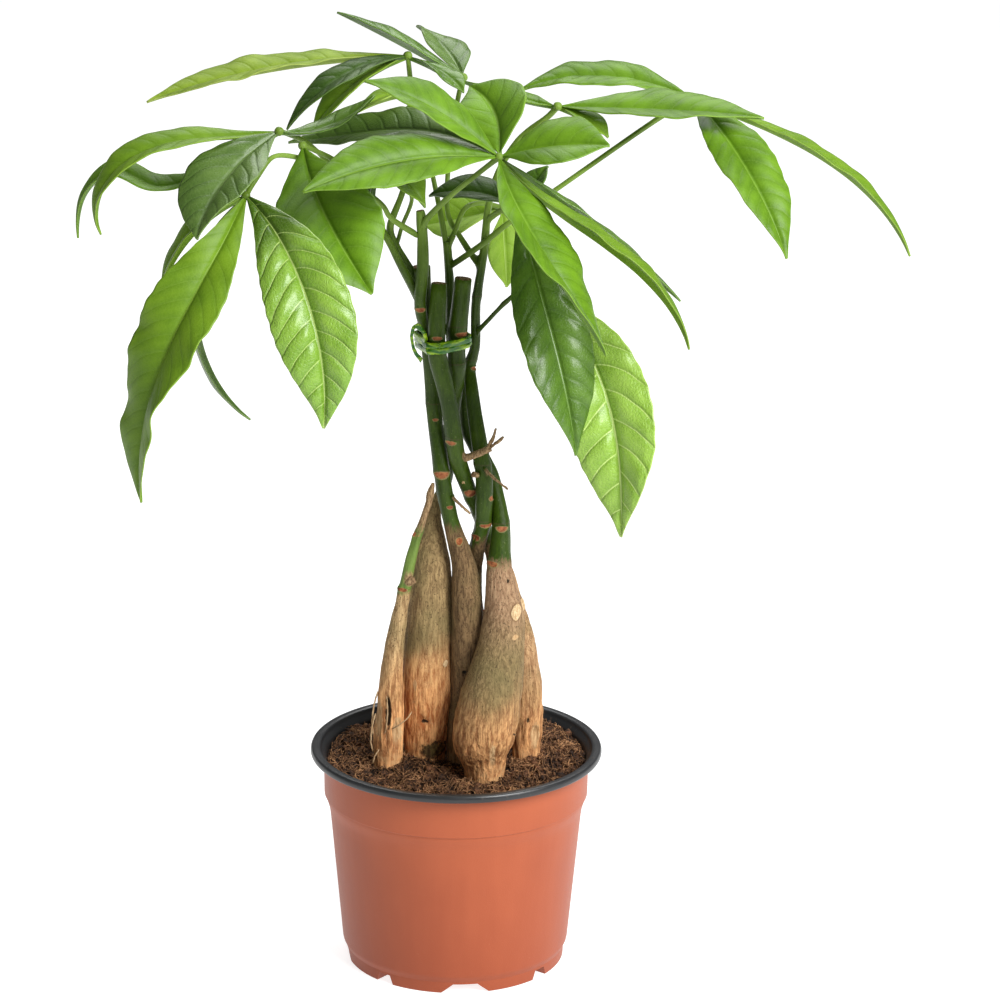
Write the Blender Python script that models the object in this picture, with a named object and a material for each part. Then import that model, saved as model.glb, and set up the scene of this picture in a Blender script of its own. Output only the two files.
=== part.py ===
"""Potted money tree: six bulbous trunks braided and tied over a plastic grower's pot.

Frame: metres, +Z up, origin at the centre of the pot's foot, front of the plant towards -Y.
The tables below are in millimetres and degrees, and MM turns them into metres.
"""
import bpy
import bmesh
import math
from mathutils import Matrix, Vector, noise

MM = 0.001
SEAT_GAP = 0.3            # clearance between pieces that touch

# Pot: thermoformed two-colour sheet with a rolled rim
RIM_RADIUS = 60.2
RIM_TOP = 92.0
COLLAR_RADIUS = 54.4
BODY_TOP_RADIUS = 52.4
BODY_FOOT_RADIUS = 46.9
FOOT_RADIUS = 45.3
FOOT_HEIGHT = 4.5
WALL = 1.0
POT_SIDES = 40
SOIL_SIDES = 32
SOIL_RINGS = 5
CHANNELS = 8
CHANNEL_TURN = 5.5        # the first drain channel sits this far right of the front
CHANNEL_HEIGHT = 4.0
CHANNEL_WIDTHS = ((25.0, 10.0), (10.0, 5.5))    # below the foot and at its top: wide and narrow ones take turns
CHANNEL_INNER_RADIUS = 24.0
CHANNEL_OUTER_RADIUS = 53.0
DRAIN_RADIUS = 2.4
DRAIN_AT = 37.0
DRAIN_SIDES = 12

# Soil
SOIL_EDGE = 82.0
SOIL_CROWN = 84.0
SOIL_BUMP = 1.8           # height of the lumps in its surface
SOIL_LUMPS = 0.14         # how closely they follow each other, per mm
# Where the peat is banked up, round the trunks and behind them: x, y, spread, height
SOIL_BANKS = ((-20, -3, 13, 4.0), (42, 6, 18, 5.0), (36, 36, 24, 6.0), (-2, 50, 24, 6.0), (-42, 22, 22, 6.5))

# Leaves
LEAF_THICKNESS = 0.6
LEAF_START = 2.3          # distance from the middle of the leaf's hub to the leaflet's base
LEAF_FOLD = 14.0          # each half of the blade rises this much from the midrib
HUB_RADIUS = 1.9
UNDERSIDE = (3, 4)         # columns of the blade's rings that face down
EDGE_SHARE = 0.6          # thickness of the blade's edge, as a share of that at the midrib
MIN_HALF_WIDTH = 0.35
BLADE_STATIONS = (0.0, 0.14, 0.32, 0.5, 0.68, 0.84, 0.95, 1.0)
BLADE_OUTLINE = ((0.0, 0.05), (0.05, 0.12), (0.14, 0.36), (0.25, 0.66), (0.4, 0.92), (0.55, 1.0),
                 (0.68, 0.92), (0.8, 0.68), (0.9, 0.34), (0.96, 0.13), (1.0, 0.03))

# Trunks and stems: name, then (x, y, z, radius) along each centre line, from the roots up
TRUNKS = {
    "trunk_left_thin": [
        [(-27, -6, 72, 3.0), (-28, -6, 80, 5.0), (-28, -6, 93, 5.6), (-27, -7, 113, 4.9), (-26, -8, 132, 3.7),
         (-22, -9, 159, 2.7), (-17.5, -9, 180, 2.0), (-12.5, -9, 197, 1.4), (-11, -9, 203, 1.5), (-10, -9, 207, 0.6)],
        [(-22, -9, 163, 2.2), (-18, -12, 167, 1.7)],
    ],
    "trunk_left": [
        [(-13, 2, 70, 4.0), (-13, 2, 78, 6.8), (-13, 2, 88, 8.0), (-12.5, 2, 110, 10.0), (-12, 2, 132, 9.9),
         (-10.8, 2, 155, 9.2), (-10.8, 3, 171, 7.4), (-10, 4, 183, 4.6), (-9, 5, 193, 2.6), (-5, 7, 203, 2.5),
         (-3.4, 6, 219, 2.8), (-2.3, 3, 237, 3.2), (-0.8, -0.5, 251, 3.5), (-1.0, -1, 261, 3.6),
         (0.4, -2, 277, 3.6), (1.6, -2, 290, 3.4)],
    ],
    "trunk_middle": [
        [(2, 0, 71, 2.5), (1.6, 0, 80, 4.0), (1.6, 0, 95, 4.4), (3, -0.5, 116, 4.8), (3.9, -2, 138, 5.6),
         (4, -4.5, 155, 6.1), (2.7, -4, 170, 5.1), (-2.3, -4, 188, 3.4), (-4.8, -4, 200, 3.2), (-6.5, -4, 209, 3.4),
         (-8.8, -1, 227, 3.0), (-10.5, 1, 243, 3.0), (-12, 0, 260, 2.9), (-14, 0.5, 276, 3.3), (-15.4, 1, 294, 3.9)],
        [(-13, -0.5, 268, 1.8), (-14.8, -4.5, 275, 2.3), (-15.5, -7, 283, 2.4), (-14.4, -8, 297, 2.4),
         (-15, -8, 314, 2.2), (-15.6, -8, 319, 1.6)],
        [(-15.2, -8, 310, 1.6), (-12.5, -11, 317, 1.3), (1, -25, 333, 1.2), (15, -38, 347, 1.3)],
        [(-15, -8, 308, 1.4), (-27, -13, 317, 1.1), (-32, -16, 325, 1.0), (-51, -19, 338, 1.0), (-70, -28, 345, 1.0),
         (-77, -38, 340, 1.0), (-82, -46, 333, 1.2)],
        [(-40, -17.2, 331, 0.9), (-48, -16, 340, 0.9), (-61, -24, 348, 1.1)],
        [(-15, 0, 278, 2.0), (-18, -4, 286, 1.7), (-24, -6, 298, 1.6), (-31, -6, 311, 1.5), (-43, -8, 328, 1.0),
         (-59, -12, 346, 1.0), (-70, -26, 354, 1.2)],
        [(-15.5, 2, 284, 1.9), (-19.5, 0, 293, 1.8), (-24.5, -2, 302, 1.6), (-27.5, -3, 311, 1.5), (-23, -3, 324, 1.2),
         (-19, 4, 338, 1.0), (-14, 12, 352, 1.0), (-12, 14, 362, 1.1)],
        [(-25, -2, 303, 0.9), (-22.5, -1, 312, 0.8), (-19, -4, 322, 0.8), (-22, -14, 333, 0.8), (-28, -26, 343, 1.0)],
        [(-3.2, -5, 201.5, 0.7), (0, -9, 199, 0.6), (5, -11, 195, 0.45)],
    ],
    "trunk_front": [
        [(12, -16, 68, 4.0), (12, -16, 76, 7.0), (11.5, -16, 89, 8.6), (10.8, -16, 97, 11.8), (11.9, -16, 107, 12.9),
         (14.7, -14.8, 121, 12.2), (17.9, -11.2, 139, 9.7), (18.8, -8, 153, 7.9), (17, -6.5, 169, 5.3),
         (17.6, -3.6, 186, 3.8), (15.9, 1.3, 198, 3.1),
         (12.5, 5, 209, 3.0), (5.5, 9, 220, 2.8), (2.9, 10, 229, 2.7), (2, 10, 242, 2.6), (0, 11, 252, 2.5),
         (-2.8, 12, 261, 2.3), (-3.6, 8, 275, 1.9), (-4, 6, 291, 1.8), (-5, 6, 303, 1.7)],
        [(-5, 6, 301, 1.4), (-8, 9, 315, 1.0), (-13, 20, 337, 1.0), (-19, 25, 359, 1.0), (-21, 22, 375, 1.1)],
        [(-5, 6, 301, 1.4), (-2, 7, 307, 1.0), (2, 9, 316, 1.0), (9, 15, 317, 1.0), (17, 20, 314, 1.1)],
        [(-4, 6, 293, 1.4), (9, -1.6, 304, 1.2), (22, -2.5, 315.5, 1.2), (38, 1, 326, 1.2), (78, 8, 353, 1.2),
         (92, 10, 361, 1.3)],
        [(-4.5, 6, 300, 1.1), (-2.2, 4.2, 306, 0.8)],
    ],
    "trunk_right": [
        [(28.5, 2, 74, 3.0), (29, 2, 82, 5.5), (29, 2, 92, 6.2), (28.7, 2, 110, 6.9), (26.3, 3.5, 132, 6.6),
         (21.7, 7.5, 150, 5.5), (17.6, 7, 166, 4.6), (12.2, 8, 179, 3.2), (8.2, 4.5, 192, 3.0), (5.4, 2, 198, 3.0),
         (2.9, -2, 206, 3.1), (-0.4, -7, 218, 3.4), (-2.1, -8, 229, 3.4), (-4.2, -8, 242, 3.4), (-6.6, -8, 252, 3.6),
         (-8.7, -8, 262, 3.6), (-8.7, -7.5, 276, 3.4), (-8, -6.5, 289, 3.1)],
        [(1, -7, 216.5, 1.8), (5, -9.2, 218.5, 1.5), (9, -10.4, 220.5, 1.4), (13, -11, 222.5, 1.3)],
        [(11.6, -11, 222, 0.9), (14, -11.5, 227, 0.6), (15, -12, 231, 0.4)],
        [(11.6, -11, 222, 0.9), (15.5, -11.5, 225, 0.6), (18, -12, 227.5, 0.4)],
    ],
    "trunk_back": [
        [(6, 18, 71, 3.0), (6, 18, 80, 5.5), (5.7, 18, 90, 6.3), (5.6, 18, 109, 6.9), (5.4, 16, 132, 6.1),
         (5.8, 12, 151, 4.7), (6.8, 4.5, 170, 3.5), (9.9, -2.5, 187, 3.3), (10.6, -5, 198, 3.5), (10.5, -4.6, 209, 3.5),
         (8.8, -3, 219, 3.3), (7.1, -1, 231, 3.0), (5.4, 1.5, 243, 2.7), (4.6, 5, 252, 2.3), (6.7, 4, 262, 2.0),
         (6.6, 3, 275, 1.9), (7.9, 2, 288, 1.8), (9.8, 2, 301, 1.7), (11.6, 2, 320, 1.4), (16, 3, 334, 1.2),
         (24, 0, 347, 1.2), (34, -5, 356, 1.2), (38, -8, 361, 1.3)],
        [(8, 2, 294, 1.5), (0, 9, 305, 1.2), (-5, 13, 315, 1.0), (-4, 22, 337, 1.0), (-1, 26, 357, 1.0),
         (1, 24, 366, 1.1)],
        [(11.2, 2, 313, 1.4), (16, -6, 318.5, 1.2), (23, -18, 323, 1.3)],
        [(6.7, 3.5, 266, 1.1), (12, -4, 274, 0.9), (20, -10, 284, 0.9), (28, -16, 292, 1.1)],
        [(10.6, 1.5, 309, 1.1), (12, 0.4, 315, 0.8)],
        [(9.2, -5, 214, 0.8), (13, -10, 211, 0.6), (20, -13, 206, 0.4)],
        [(9.4, -5, 209, 1.5), (6.2, -9.6, 211, 1.2)],
    ],
}
STEM_SIDES = {"trunk_left": 14, "trunk_front": 14, "trunk_left_thin": 8, "trunk_middle": 10, "trunk_right": 10,
              "trunk_back": 10}
BRANCH_SIDES = 6
PATH_STEPS = 2            # rings from one given point of a centre line to the next

# Leaves: the hub's place, then each leaflet as
# (length, width, headings, rises, rolls) with each angle at the base and tip, or base, middle and tip, or at even steps
LEAVES = {
    "leaf_a": ((15, -38, 347), [
        (84, 27, (-152, -154), (10, -18), (38, 30)),
        (61, 25, (-166, -180), (44, 17), (35, 12)),
        (42, 30, (80, 136), (46, 16), (30, 25)),
        (45, 30, (-20, -16), (20, 0), (-32, -26)),
        (94, 31, (-80, -8), (-32, -60), (8, 14)),
        (107, 26, (-36, -19, -12), (-43, -32, -73), (14, 12)),
        (94, 20, (14, 4), (-36, -42), (0, 0)),
        (97, 26, (163, 143, 180), (28, -9, -5), (20, 22))]),
    "leaf_b": ((23, -18, 323), [
        (102, 31, (-73, -36), (-48, -80), (-22, -8)),
        (20, 16, (28, 30), (44, 55), (0, 0)),
        (39, 22, (150, 165), (20, -17), (15, 15))]),
    "leaf_c": ((92, 10, 361), [
        (71, 26, (160, 186), (20, -18), (16, 8)),
        (88, 27, (-70, -47), (-11, -62), (-12, 5)),
        (110, 17, (-3, -10, -10), (-20, -30, -66), (2, 2))]),
    "leaf_d": ((38, -8, 361), [
        (46, 16, (140, 153), (-2, 15), (10, -20)),
        (81, 27, (-10, -7), (1, -3), (-20, -6)),
        (24, 14, (-20, -25), (-16, -35), (-3, -10))]),
    "leaf_e": ((-82, -46, 333), [
        (131, 35, (-111, -158, -203), (-38, -64, -93), (44, 9)),
        (104, 34, (-55, -47), (-18, -98), (-35, -45)),
        (106, 18, (146, 189), (-38, -139), (15, 15)),
        (52, 22, (175, 178), (-25, -72), (9, 9))]),
    "leaf_f": ((-70, -26, 354), [
        (94, 18, (178, 190, 173), (-12, -16, -112), (12, 18)),
        (61, 34, (-145, -107), (-24, -43), (30, -28)),
        (110, 15, (166, 171), (-30, -34, -27, 35, -61, -92), (8, 22)),
        (42, 14, (17, 14), (-12, 49), (-15, 0))]),
    "leaf_g": ((-21, 22, 375), [
        (107, 26, (167, 192), (-4, -17), (-2, 12)),
        (62, 27, (-140, -165), (3, -52), (10, 0)),
        (50, 20, (-158, -156), (-16, -52), (0, 0)),
        (30, 14, (-19, -52), (-17, -27), (20, -10))]),
    "leaf_h": ((1, 24, 366), [
        (57, 20, (168, 166), (28, 22), (-5, -10)),
        (39, 22, (106, 138), (25, 22), (4, -30))]),
    "leaf_k": ((-28, -26, 343), [
        (24, 19, (-46, 4), (-39, -53), (-15, -5)),
        (22, 16, (-163, -170), (-43, -110), (0, 0))]),
    "leaf_l": ((17, 20, 314), [
        (34, 28, (162, 169), (-21, -11), (30, 30)),
        (32, 18, (-82, -73), (-70, -73), (16, 16))]),
    "leaf_n": ((28, -16, 292), [
        (112, 36, (-20, -75), (-34, -94), (-38, -55))]),
    "leaf_o": ((-61, -24, 348), [
        (73, 41, (-80, -37), (-36, -45), (-28, -28))]),
    "leaf_p": ((-12, 14, 362), [
        (30, 20, (-168, -170), (2, -28), (0, 0)),
        (20, 12, (-168, -174), (-38, -66), (0, 0)),
        (22, 14, (-66, -112), (-48, -42), (0, 0))]),
}

# Tie: plastic-coated wire wound round the stems above the braid
TIE_RADIUS = 0.85
TIE_TAIL_RADIUS = 0.75
TIE_SIDES = 6
TIE_HEIGHT = 262.5
TIE_PITCH = 2.0
TIE_TURNS = 2.1
TIE_START = 170           # degrees round from +X
TIE_STEPS = 20            # to a turn
TIE_CENTRE = (-6.5, 0)
TIE_CLEARANCE = 0.55
TIE_HOLDS = ("trunk_middle", "trunk_right", "trunk_left", "trunk_front")
TIE_TAIL = [(-14, -11, 270), (-16.6, -11, 273), (-18.4, -11, 271), (-18.5, -11, 266), (-17, -11.5, 261.5),
            (-14.8, -12, 259.2)]


def clear_scene():
    for thing in list(bpy.data.objects):
        bpy.data.objects.remove(thing, do_unlink=True)


def material(name, colour, roughness, metallic=0.0):
    finish = bpy.data.materials.new(name)
    finish.use_nodes = True
    shader = finish.node_tree.nodes["Principled BSDF"]
    shader.inputs["Base Color"].default_value = (*colour, 1.0)
    shader.inputs["Roughness"].default_value = roughness
    shader.inputs["Metallic"].default_value = metallic
    finish.diffuse_color = (*colour, 1.0)
    return finish


def add_object(name, mesh, finish=None):
    thing = bpy.data.objects.new(name, mesh)
    bpy.context.scene.collection.objects.link(thing)
    if finish:
        mesh.materials.clear()
        mesh.materials.append(finish)
    return thing


def mesh_from_rings(name, rings, underside=()):
    """Skin rings of points given in millimetres, with a flat cap at each end.

    The columns of a thin blade's underside are named, and cut along the diagonals that its top has,
    so that its two faces never cross where it twists.
    """
    mesh = bpy.data.meshes.new(name)
    build = bmesh.new()
    loops = [[build.verts.new(Vector(point) * MM) for point in ring] for ring in rings]
    sides = len(loops[0])
    for lower, upper in zip(loops, loops[1:]):
        for i in range(sides):
            j = (i + 1) % sides
            corners = (lower[i], lower[j], upper[j], upper[i])
            first = 1 if i in underside else 0
            for corner in ((first, first + 1, first + 2), (first + 2, (first + 3) % 4, first)):
                build.faces.new([corners[k] for k in corner])
    build.faces.new(list(reversed(loops[0])))
    build.faces.new(loops[-1])
    bmesh.ops.recalc_face_normals(build, faces=build.faces)
    build.to_mesh(mesh)
    build.free()
    return mesh


def boolean(target, other, operation):
    """Cut or fuse target with other, keep the result as target's mesh, and drop other."""
    step = target.modifiers.new(operation, "BOOLEAN")
    step.operation = operation
    step.object = other
    bpy.context.view_layer.update()
    graph = bpy.context.evaluated_depsgraph_get()
    result = bpy.data.meshes.new_from_object(target.evaluated_get(graph))
    target.modifiers.clear()
    old = target.data
    target.data = result
    bpy.data.meshes.remove(old)
    bpy.data.objects.remove(other, do_unlink=True)


def smooth_path(points):
    """Points on a smooth curve through the given (x, y, z, radius) ones."""
    first = [2 * a - b for a, b in zip(points[0], points[1])]
    last = [2 * a - b for a, b in zip(points[-1], points[-2])]
    knots = [first, *points, last]
    path = []
    for i in range(1, len(knots) - 2):
        for step in range(PATH_STEPS):
            t = step / PATH_STEPS
            path.append([0.5 * (2 * b + (c - a) * t + (2 * a - 5 * b + 4 * c - d) * t * t
                                + (3 * b - a - 3 * c + d) * t ** 3)
                         for a, b, c, d in zip(*knots[i - 1:i + 3])])
    path.append(list(points[-1]))
    return path


def tube_rings(path, sides, extra=0.0):
    """Rings round a path of (x, y, z, radius), turned as little as possible from one to the next."""
    places = [Vector(point[:3]) for point in path]
    across = Vector((1, 0, 0))
    rings = []
    for i, place in enumerate(places):
        ahead = (places[min(i + 1, len(places) - 1)] - places[max(i - 1, 0)]).normalized()
        across = (across - ahead * across.dot(ahead)).normalized()
        up = ahead.cross(across)
        radius = path[i][3] + extra
        rings.append([place + radius * (across * math.cos(turn) + up * math.sin(turn))
                      for turn in (2 * math.pi * k / sides for k in range(sides))])
    return rings


def tube(name, line, sides):
    return mesh_from_rings(name, tube_rings(smooth_path(line), sides))


# ---------------------------------------------------------------- pot

def turned(name, profile, sides=POT_SIDES):
    """Turn a closed (radius, height) outline, whose first and last points lie on the axis."""
    mesh = bpy.data.meshes.new(name)
    build = bmesh.new()
    rings = []
    for radius, height in profile:
        if radius == 0:
            rings.append([build.verts.new(Vector((0, 0, height)) * MM)])
        else:
            rings.append([build.verts.new(Vector((radius * math.sin(a), -radius * math.cos(a), height)) * MM)
                          for a in (2 * math.pi * k / sides for k in range(sides))])
    for lower, upper in zip(rings, rings[1:]):
        for i in range(sides):
            j = (i + 1) % sides
            corners = [lower[i % len(lower)], lower[j % len(lower)], upper[j % len(upper)], upper[i % len(upper)]]
            build.faces.new(list(dict.fromkeys(corners)))
    bmesh.ops.recalc_face_normals(build, faces=build.faces)
    build.to_mesh(mesh)
    build.free()
    return add_object(name, mesh)


def channel_prism(name, index, widen, bottom, top, inner):
    """A radial bar of trapezoid section that shapes one drain channel under the floor."""
    half_foot, half_top = (width / 2 + widen for width in CHANNEL_WIDTHS[index % len(CHANNEL_WIDTHS)])
    turn = Matrix.Rotation(math.radians(CHANNEL_TURN + index * 360 / CHANNELS), 3, "Z")
    rings = []
    for reach in (inner, CHANNEL_OUTER_RADIUS):
        section = ((-half_foot, bottom), (half_foot, bottom), (half_top, top), (-half_top, top))
        rings.append([turn @ Vector((x, -reach, z)) for x, z in section])
    return add_object(name, mesh_from_rings(name, rings))


def make_pot(finish):
    outer = [(0, 0), (FOOT_RADIUS, 0), (FOOT_RADIUS + 0.2, FOOT_HEIGHT), (BODY_FOOT_RADIUS, FOOT_HEIGHT + 3),
             (BODY_TOP_RADIUS - 0.5, 62), (BODY_TOP_RADIUS, 66), (53.7, 69.4), (COLLAR_RADIUS, 72),
             (COLLAR_RADIUS + 0.3, 87.4), (55.8, 88.9), (59.0, 89.0), (60.0, 89.4), (RIM_RADIUS, 90.3),
             (59.9, 91.5), (58.9, RIM_TOP), (57.0, RIM_TOP), (56.1, 91.3), (55.8, 90.4), (0, 90.4)]
    pot = turned("pot", outer)
    for index in range(CHANNELS):
        boolean(pot, channel_prism("channel", index, 0, -2, CHANNEL_HEIGHT, CHANNEL_INNER_RADIUS), "DIFFERENCE")
    hollow = [(0, WALL), (FOOT_RADIUS - 2.2, WALL), (FOOT_RADIUS - WALL, FOOT_HEIGHT - 1),
              (BODY_FOOT_RADIUS - WALL, FOOT_HEIGHT + 3.4), (BODY_TOP_RADIUS - 0.5 - WALL, 62),
              (BODY_TOP_RADIUS - WALL + 0.1, 65.6), (53.7 - WALL, 69.6), (COLLAR_RADIUS - WALL, 72.2),
              (COLLAR_RADIUS + 0.3 - WALL, 87.6), (55.0, 89.4), (55.8, 90.4), (56.2, 95), (0, 95)]
    cavity = turned("cavity", hollow)
    for index in range(CHANNELS):
        ridge = channel_prism("ridge", index, WALL, -3, CHANNEL_HEIGHT + WALL, CHANNEL_INNER_RADIUS - WALL)
        boolean(cavity, ridge, "DIFFERENCE")
    boolean(pot, cavity, "DIFFERENCE")
    for index in range(CHANNELS):
        turn = math.radians(CHANNEL_TURN + index * 360 / CHANNELS)
        line = [(DRAIN_AT * math.sin(turn), -DRAIN_AT * math.cos(turn), z, DRAIN_RADIUS) for z in (-1, 12)]
        drain = add_object("drain", mesh_from_rings("drain", tube_rings(line, DRAIN_SIDES)))
        boolean(pot, drain, "DIFFERENCE")
    pot.data.materials.clear()
    pot.data.materials.append(finish)
    return pot


def make_soil(finish):
    """Peat that fills the pot from just above the drain ridges, with pockets for the trunks."""
    gap = WALL + SEAT_GAP
    wall = [(BODY_FOOT_RADIUS - gap - 0.6, FOOT_HEIGHT + 4), (BODY_TOP_RADIUS - 0.5 - gap, 62),
            (BODY_TOP_RADIUS - gap, 66), (53.6 - gap, 69.9), (COLLAR_RADIUS - gap, 72.6),
            (COLLAR_RADIUS + 0.2 - gap, SOIL_EDGE)]
    bed = CHANNEL_HEIGHT + WALL + SEAT_GAP
    profile = [(0, bed), (FOOT_RADIUS - 2.6, bed), *wall]
    edge = wall[-1][0]
    for ring in range(1, SOIL_RINGS):
        share = ring / SOIL_RINGS
        profile.append((edge * (1 - share), SOIL_EDGE + (SOIL_CROWN - SOIL_EDGE) * math.sin(share * math.pi / 2)))
    profile.append((0, SOIL_CROWN))
    soil = turned("soil", profile, SOIL_SIDES)
    for vert in soil.data.vertices:
        place = vert.co / MM
        if place.z > SOIL_EDGE - 0.05:
            for x, y, spread, height in SOIL_BANKS:
                vert.co.z += height * math.exp(-((place.x - x) ** 2 + (place.y - y) ** 2) / spread ** 2) * MM
        if place.z > SOIL_EDGE + 0.05:
            vert.co.z += SOIL_BUMP * noise.noise(place * SOIL_LUMPS) * MM
    for name, lines in TRUNKS.items():
        path = smooth_path(lines[0])[:3 * PATH_STEPS + 1]
        path[0][2] -= SEAT_GAP
        pocket = mesh_from_rings("pocket", tube_rings(path, STEM_SIDES[name], SEAT_GAP))
        boolean(soil, add_object("pocket", pocket), "DIFFERENCE")
    soil.data.materials.clear()
    soil.data.materials.append(finish)
    return soil


# ---------------------------------------------------------------- trunks and stems

def make_trunk(name, lines, bark):
    """One seedling: bulbous trunk, stem, side shoots, leaf stalks and dead stubs, grown as one piece."""
    trunk = add_object(name, tube(name, lines[0], STEM_SIDES[name]))
    for line in lines[1:]:
        branch = add_object("branch", tube("branch", line, BRANCH_SIDES))
        boolean(trunk, branch, "UNION")
    tips = {tuple(line[-1][:3]) for line in lines}
    for hub, leaflets in LEAVES.values():
        if hub in tips:
            knob = bpy.data.meshes.new("knob")
            build = bmesh.new()
            bmesh.ops.create_icosphere(build, subdivisions=1, radius=HUB_RADIUS * MM,
                                       matrix=Matrix.Translation(Vector(hub) * MM))
            build.to_mesh(knob)
            build.free()
            boolean(trunk, add_object("knob", knob), "UNION")
    trunk.data.materials.clear()
    trunk.data.materials.append(bark)
    return trunk


# ---------------------------------------------------------------- leaves

def between(pairs, share):
    """Read a table of (share, value) pairs at the given share."""
    for (s0, v0), (s1, v1) in zip(pairs, pairs[1:]):
        if share <= s1:
            return v0 + (v1 - v0) * (share - s0) / (s1 - s0)
    return pairs[-1][1]


def along(angles, share):
    """Angle at a share of the length, from its values at the base and tip, or base, middle and tip, or even steps."""
    if len(angles) != 3:
        steps = len(angles) - 1
        step = min(int(share * steps), steps - 1)
        return angles[step] + (angles[step + 1] - angles[step]) * (share * steps - step)
    base, middle, tip = angles
    return base * (1 - share) * (1 - 2 * share) + 4 * middle * share * (1 - share) + tip * share * (2 * share - 1)


def direction(heading, rise):
    h, r = math.radians(heading), math.radians(rise)
    return Vector((math.cos(h) * math.cos(r), math.sin(h) * math.cos(r), math.sin(r)))


def midrib(hub, length, headings, rises, steps=48):
    """Places along a leaflet's midrib, with the direction ahead and the way to the blade's right side."""
    place = Vector(hub)
    points = [place.copy()]
    for step in range(steps):
        share = (step + 0.5) / steps
        place += direction(along(headings, share), along(rises, share)) * length / steps
        points.append(place.copy())

    def at(share):
        low = min(int(share * steps), steps - 1)
        spot = points[low].lerp(points[low + 1], share * steps - low)
        ahead = direction(along(headings, share), along(rises, share))
        turn = math.radians(along(headings, share))
        right = Vector((math.sin(turn), -math.cos(turn), 0))
        return spot, ahead, right
    return at


def make_leaflet(name, hub, leaflet, finish):
    """A folded blade: two half blades that rise from the midrib, narrow at the base, pointed at the tip."""
    length, width, headings, rises, rolls = leaflet
    at = midrib(hub, length, headings, rises)
    start = LEAF_START / length
    fold = math.radians(LEAF_FOLD)
    rings = []
    for station in BLADE_STATIONS:
        spot, ahead, right = at(start + (1 - start) * station)
        tilt = math.radians(along(rolls, station))
        up = right.cross(ahead)
        across = right * math.cos(tilt) + up * math.sin(tilt)
        above = up * math.cos(tilt) - right * math.sin(tilt)
        half = max(between(BLADE_OUTLINE, station) * width / 2, MIN_HALF_WIDTH)
        reach, lift = half * math.cos(fold), half * math.sin(fold)
        skin = above * LEAF_THICKNESS / 2
        edge_skin = skin * EDGE_SHARE
        rings.append([spot + across * reach + above * lift + edge_skin, spot + skin,
                      spot - across * reach + above * lift + edge_skin,
                      spot - across * reach + above * lift - edge_skin, spot - skin,
                      spot + across * reach + above * lift - edge_skin])
    return add_object(name, mesh_from_rings(name, rings, UNDERSIDE), finish)


# ---------------------------------------------------------------- tie

def make_tie(finish):
    """Wire wound round the stems: it bridges from stem to stem and its end is twisted off at the left."""
    def stem_at(name, height):
        path = smooth_path(TRUNKS[name][0])
        for low, high in zip(path, path[1:]):
            if high[2] >= height:
                share = (height - low[2]) / (high[2] - low[2])
                return [a + (b - a) * share for a, b in zip(low, high)]

    centre = Vector(TIE_CENTRE)
    path = []
    for step in range(round(TIE_TURNS * TIE_STEPS) + 1):
        turn = math.radians(TIE_START) + 2 * math.pi * step / TIE_STEPS
        height = TIE_HEIGHT + TIE_PITCH * step / TIE_STEPS
        way = Vector((math.cos(turn), math.sin(turn)))
        touched = []
        for name in TIE_HOLDS:
            x, y, _, radius = stem_at(name, height)
            clear = radius + TIE_RADIUS + TIE_CLEARANCE
            touched.append(((Vector((x, y)) - centre).dot(way) + clear, Vector((x, y)) + way * clear))
        farthest = max(touched, key=lambda touch: touch[0])[1]
        path.append((*farthest, height, TIE_RADIUS))
    tail = [(*point, TIE_TAIL_RADIUS) for point in TIE_TAIL]
    return add_object("tie", mesh_from_rings("tie", tube_rings(path + tail, TIE_SIDES)), finish)


def main():
    clear_scene()
    terracotta = material("pot_plastic", (0.50, 0.16, 0.07), 0.45)
    peat = material("soil_peat", (0.035, 0.022, 0.014), 0.95)
    bark = material("trunk_bark", (0.28, 0.18, 0.10), 0.75)
    green = material("leaf_blade", (0.13, 0.30, 0.03), 0.35)
    wire = material("tie_plastic", (0.05, 0.35, 0.05), 0.2)
    make_pot(terracotta)
    make_soil(peat)
    for name, lines in TRUNKS.items():
        make_trunk(name, lines, bark)
    for name, (hub, leaflets) in LEAVES.items():
        for number, leaflet in enumerate(leaflets, 1):
            make_leaflet(f"{name}{number}", hub, leaflet, green)
    make_tie(wire)


main()
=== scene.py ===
"""A potted money tree: the finished surfaces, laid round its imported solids.

Metres, +Z up. The pot stands on the floor at the origin and the plant's front faces -Y.
"""
import bmesh
import bpy
import itertools
import math
import numpy as np
import random
from mathutils import Matrix, Vector, kdtree, noise
from mathutils.bvhtree import BVHTree


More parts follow.
